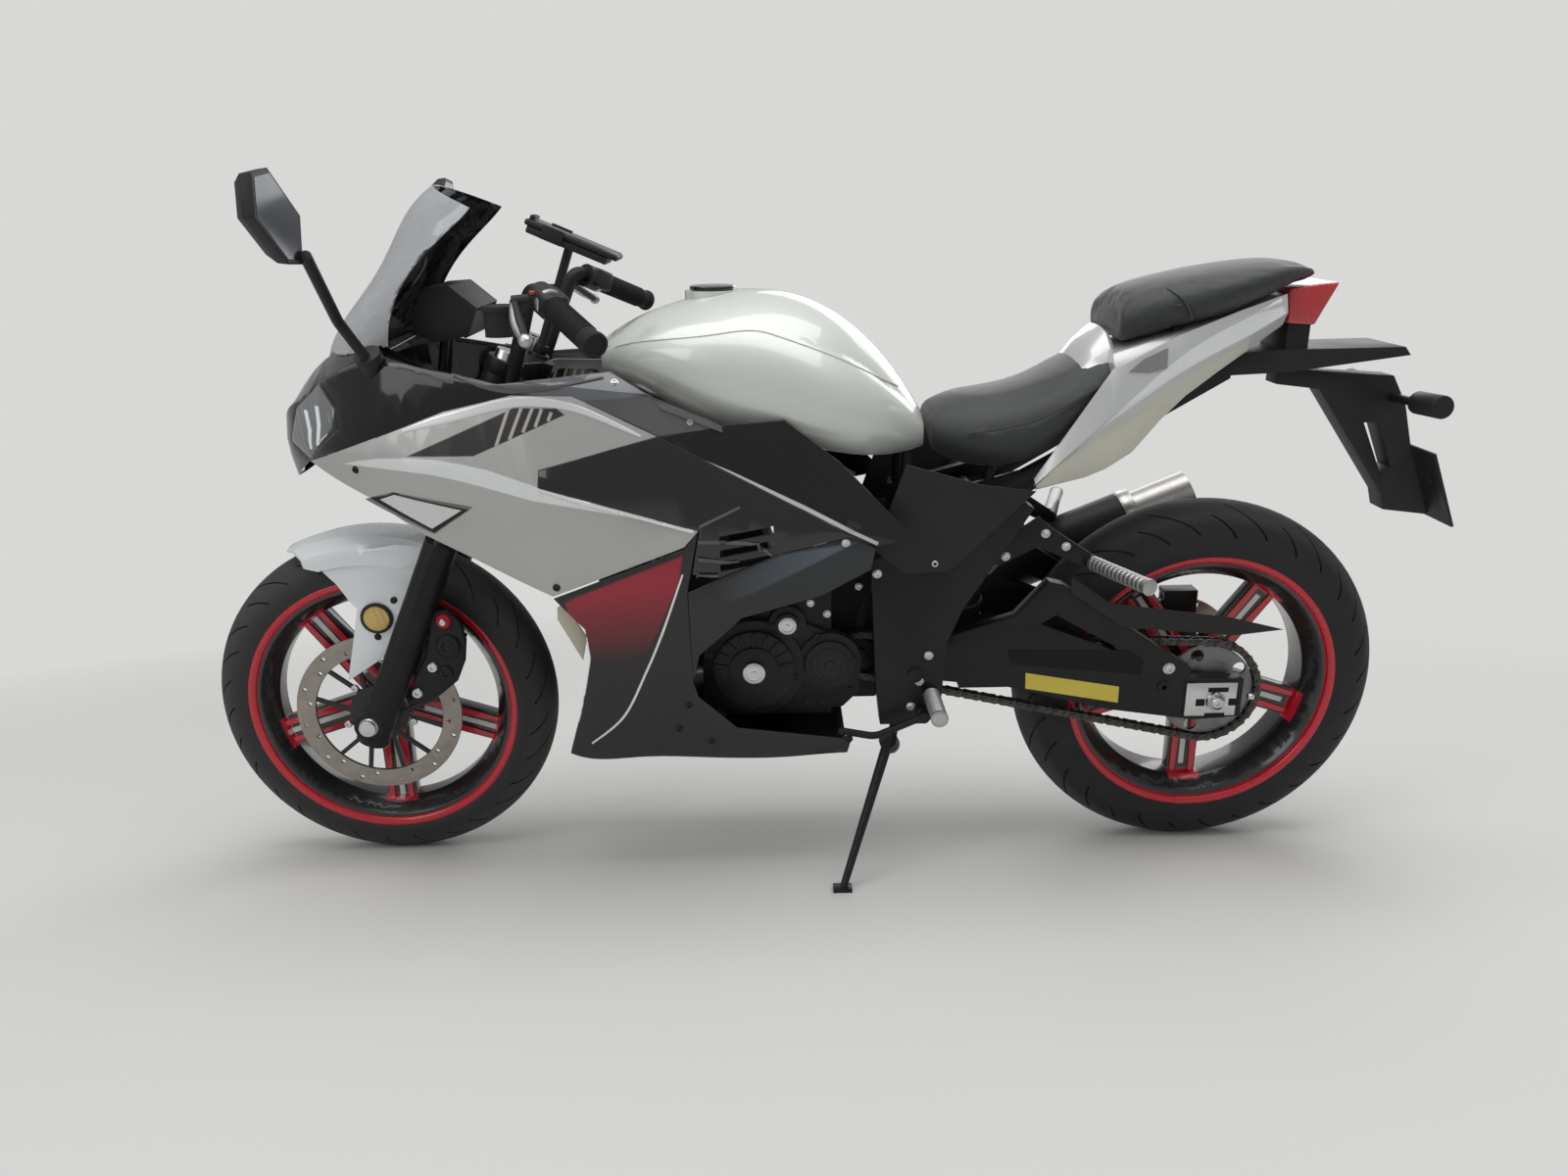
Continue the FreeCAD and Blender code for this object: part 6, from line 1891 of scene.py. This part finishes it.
# Bolts, lines and patches by node, their places in millimetres rearward and up.
BOLT_ROWS = (
    BoltRow("frame", "frame", 0.0055, ((798, 621), (932, 576), (888, 650), (842, 560), (927, 420),
                                       (913, 375), (900, 331)), Tone.STEEL),
    BoltRow("cover", "engine_covers", 0.0042, ((575, 421), (671, 466), (714, 380), (733, 330), (757, 330),
                                               (640, 326), (800, 352), (806, 410), (748, 449)),
            Tone.PLASTIC, (LEFT,)),
    BoltRow("crankcase", "engine", 0.0050, ((738, 499), (821, 505), (600, 470), (765, 480)), Tone.STEEL,
            (LEFT,)),
    BoltRow("clutch_cover", "engine_covers", 0.0046, ((640, 390), (655, 435), (700, 452), (745, 435),
                                                      (760, 390), (745, 345), (700, 328), (655, 345)),
            Tone.STEEL, (RIGHT,)),
    BoltRow("swingarm", "swingarm", 0.0075, ((905, 388), (1334, 372)), Tone.STEEL),
    BoltRow("footrest", "footrests", 0.0055, ((1050, 575), (1112, 612), (1146, 590)), Tone.STEEL),
    BoltRow("upper_panel", "upper_panels", 0.0048, ((450, 868), (560, 812)), Tone.STEEL),
    BoltRow("sweep_panel", "sweep_panels", 0.0048, ((788, 632),), Tone.STEEL),
    BoltRow("fairing", "side_fairings", 0.0045, ((52, 742), (352, 570)), Tone.PLASTIC),
    BoltRow("belly", "belly_pan", 0.0052, ((541, 362), (524, 317), (575, 290), (800, 290)), Tone.PLASTIC),
    BoltRow("fender", "front_fender", 0.0045, ((51, 500), (18, 437)), Tone.PLASTIC),
    BoltRow("rear_caliper", "rear_caliper", 0.0060, ((1400, 400), (1430, 400)), Tone.STEEL, (RIGHT,)),
)
TRIM_LINES = (
    # The first four lines are raised strips in pale lacquer: painted highlights on the panels' edges and
    # folds.
    Line("silver_brow", "side_fairings", ((136, 804), (166, 813), (200, 822), (284, 842), (338, 845),
                                          (400, 833), (488, 794)), (5, 10, 14, 14, 13, 10, 4), Tone.BRIGHT,
         0.0014),
    Line("scoop_lip", "side_fairings", ((338, 722), (400, 703), (480, 681), (562, 657)), (5, 7, 7, 5),
         Tone.BRIGHT, 0.0020),
    Line("belly_line", "belly_pan", ((543, 590), (510, 500), (479, 426), (437, 342), (382, 292)),
         (3, 4, 4, 4, 3), Tone.BRIGHT),
    Line("belly_edge", "belly_pan", ((388, 486), (370, 420), (352, 330)), (3, 4, 3), Tone.BRIGHT, 0.0010),
    Line("upper_slat", "side_scoops", ((568, 641), (646, 636), (677, 617)), (5, 5, 4), Tone.GREY, 0.0040),
    Line("middle_slat", "side_scoops", ((567, 614), (629, 606)), (5, 4), Tone.GREY, 0.0040),
    Line("lower_slat", "side_scoops", ((563, 588), (596, 587)), (4, 4), Tone.GREY, 0.0040),
    Line("upper_fold", "side_scoops", ((571, 664), (631, 690)), (5, 4), Tone.GREY, 0.0030),
    Line("nose_ridge", "upper_panels", ((117, 920), (171, 899), (275, 864), (336, 862), (433, 874)),
         (4, 6, 7, 7, 4), Tone.GREY, 0.0022),
    Line("tank_crease", "fuel_tank", ((445, 910), (492, 922), (580, 932), (650, 938), (700, 926),
                                      (787, 890), (880, 838)), (3, 5, 6, 6, 6, 5, 3), Tone.PEARL, 0.0016),
)
PATCHES = (
    # The grey patch on the upper panel's top face is a painted reflection.
    Patch("grey_facet", "upper_panels", ((410, 844), (503, 849), (612, 806), (576, 800), (513, 794)),
          Tone.GREY, 0.0014),
    Patch("lamp_bar_upper", "headlights", ((-44, 820), (-37, 820), (-28, 792), (-29, 764), (-35, 762),
                                           (-35, 790)), Tone.LIGHT),
    Patch("lamp_bar_lower", "headlights", ((-19, 829), (-12, 829), (-8, 801), (-12, 772), (-18, 771),
                                           (-15, 801)), Tone.LIGHT),
    Patch("signal_frame", "front_signals", ((72, 700), (106, 712), (228, 690), (171, 652)), Tone.PLASTIC,
          0.0008),
    Patch("signal_lens", "front_signals", ((90, 700), (114, 709), (218, 689), (169, 659)), Tone.SIGNAL,
          0.0026),
    Patch("label", "swingarm", ((1095, 369), (1253, 341), (1253, 312), (1096, 341)), Tone.LABEL, 0.0006,
          (LEFT,)),
    # Painted shade in the swingarm's recess.
    Patch("arm_recess", "swingarm", ((1062, 412), (1262, 406), (1290, 390), (1288, 362), (1070, 385)),
          Tone.RECESS_SHADE, 0.0005),
    # Painted shade in the tail's recess.
    Patch("tail_recess", "tail_cowl", ((1224, 864), (1246, 882), (1284, 898), (1284, 868), (1256, 862)),
          Tone.SHADE, 0.0014),
)


def main() -> None:
    """Build the scene's sub-assemblies in order."""
    logging.basicConfig(level=logging.INFO, format="%(name)s: %(message)s")
    Studio().build()
    Dressing().build()
    Shells().build()
    SoftEdged().build()
    Tyre("front_tyre", FRONT_AXLE, FRONT_CROWN, FRONT_RADIUS).build()
    Tyre("rear_tyre", REAR_AXLE, REAR_CROWN, REAR_RADIUS).build()
    Chain().build()
    Seat("rider_seat", 0.7, (((985, 770), (1080, 790), (1160, 828), (1222, 862)),)).build()
    Seat("pillion_seat", 0.75, (((1262, 994), (1284, 984), (1306, 966), (1320, 940)),), hump=0.030).build()
    Mirrors().build()
    WheelDetails("front", FRONT_AXLE, FRONT_HALF_RIM, 0.0509, -0.0725).build()
    WheelDetails("rear", REAR_AXLE, REAR_HALF_RIM, 0.0662, 0.0845, bolts=0).build()
    ForkDetails().build()
    Cockpit().build()
    EngineDetails().build()
    RearDetails().build()
    Patches(PATCHES).build()
    Trim(TRIM_LINES).build()
    Bolts(BOLT_ROWS).build()


if __name__ == "__main__":
    main()
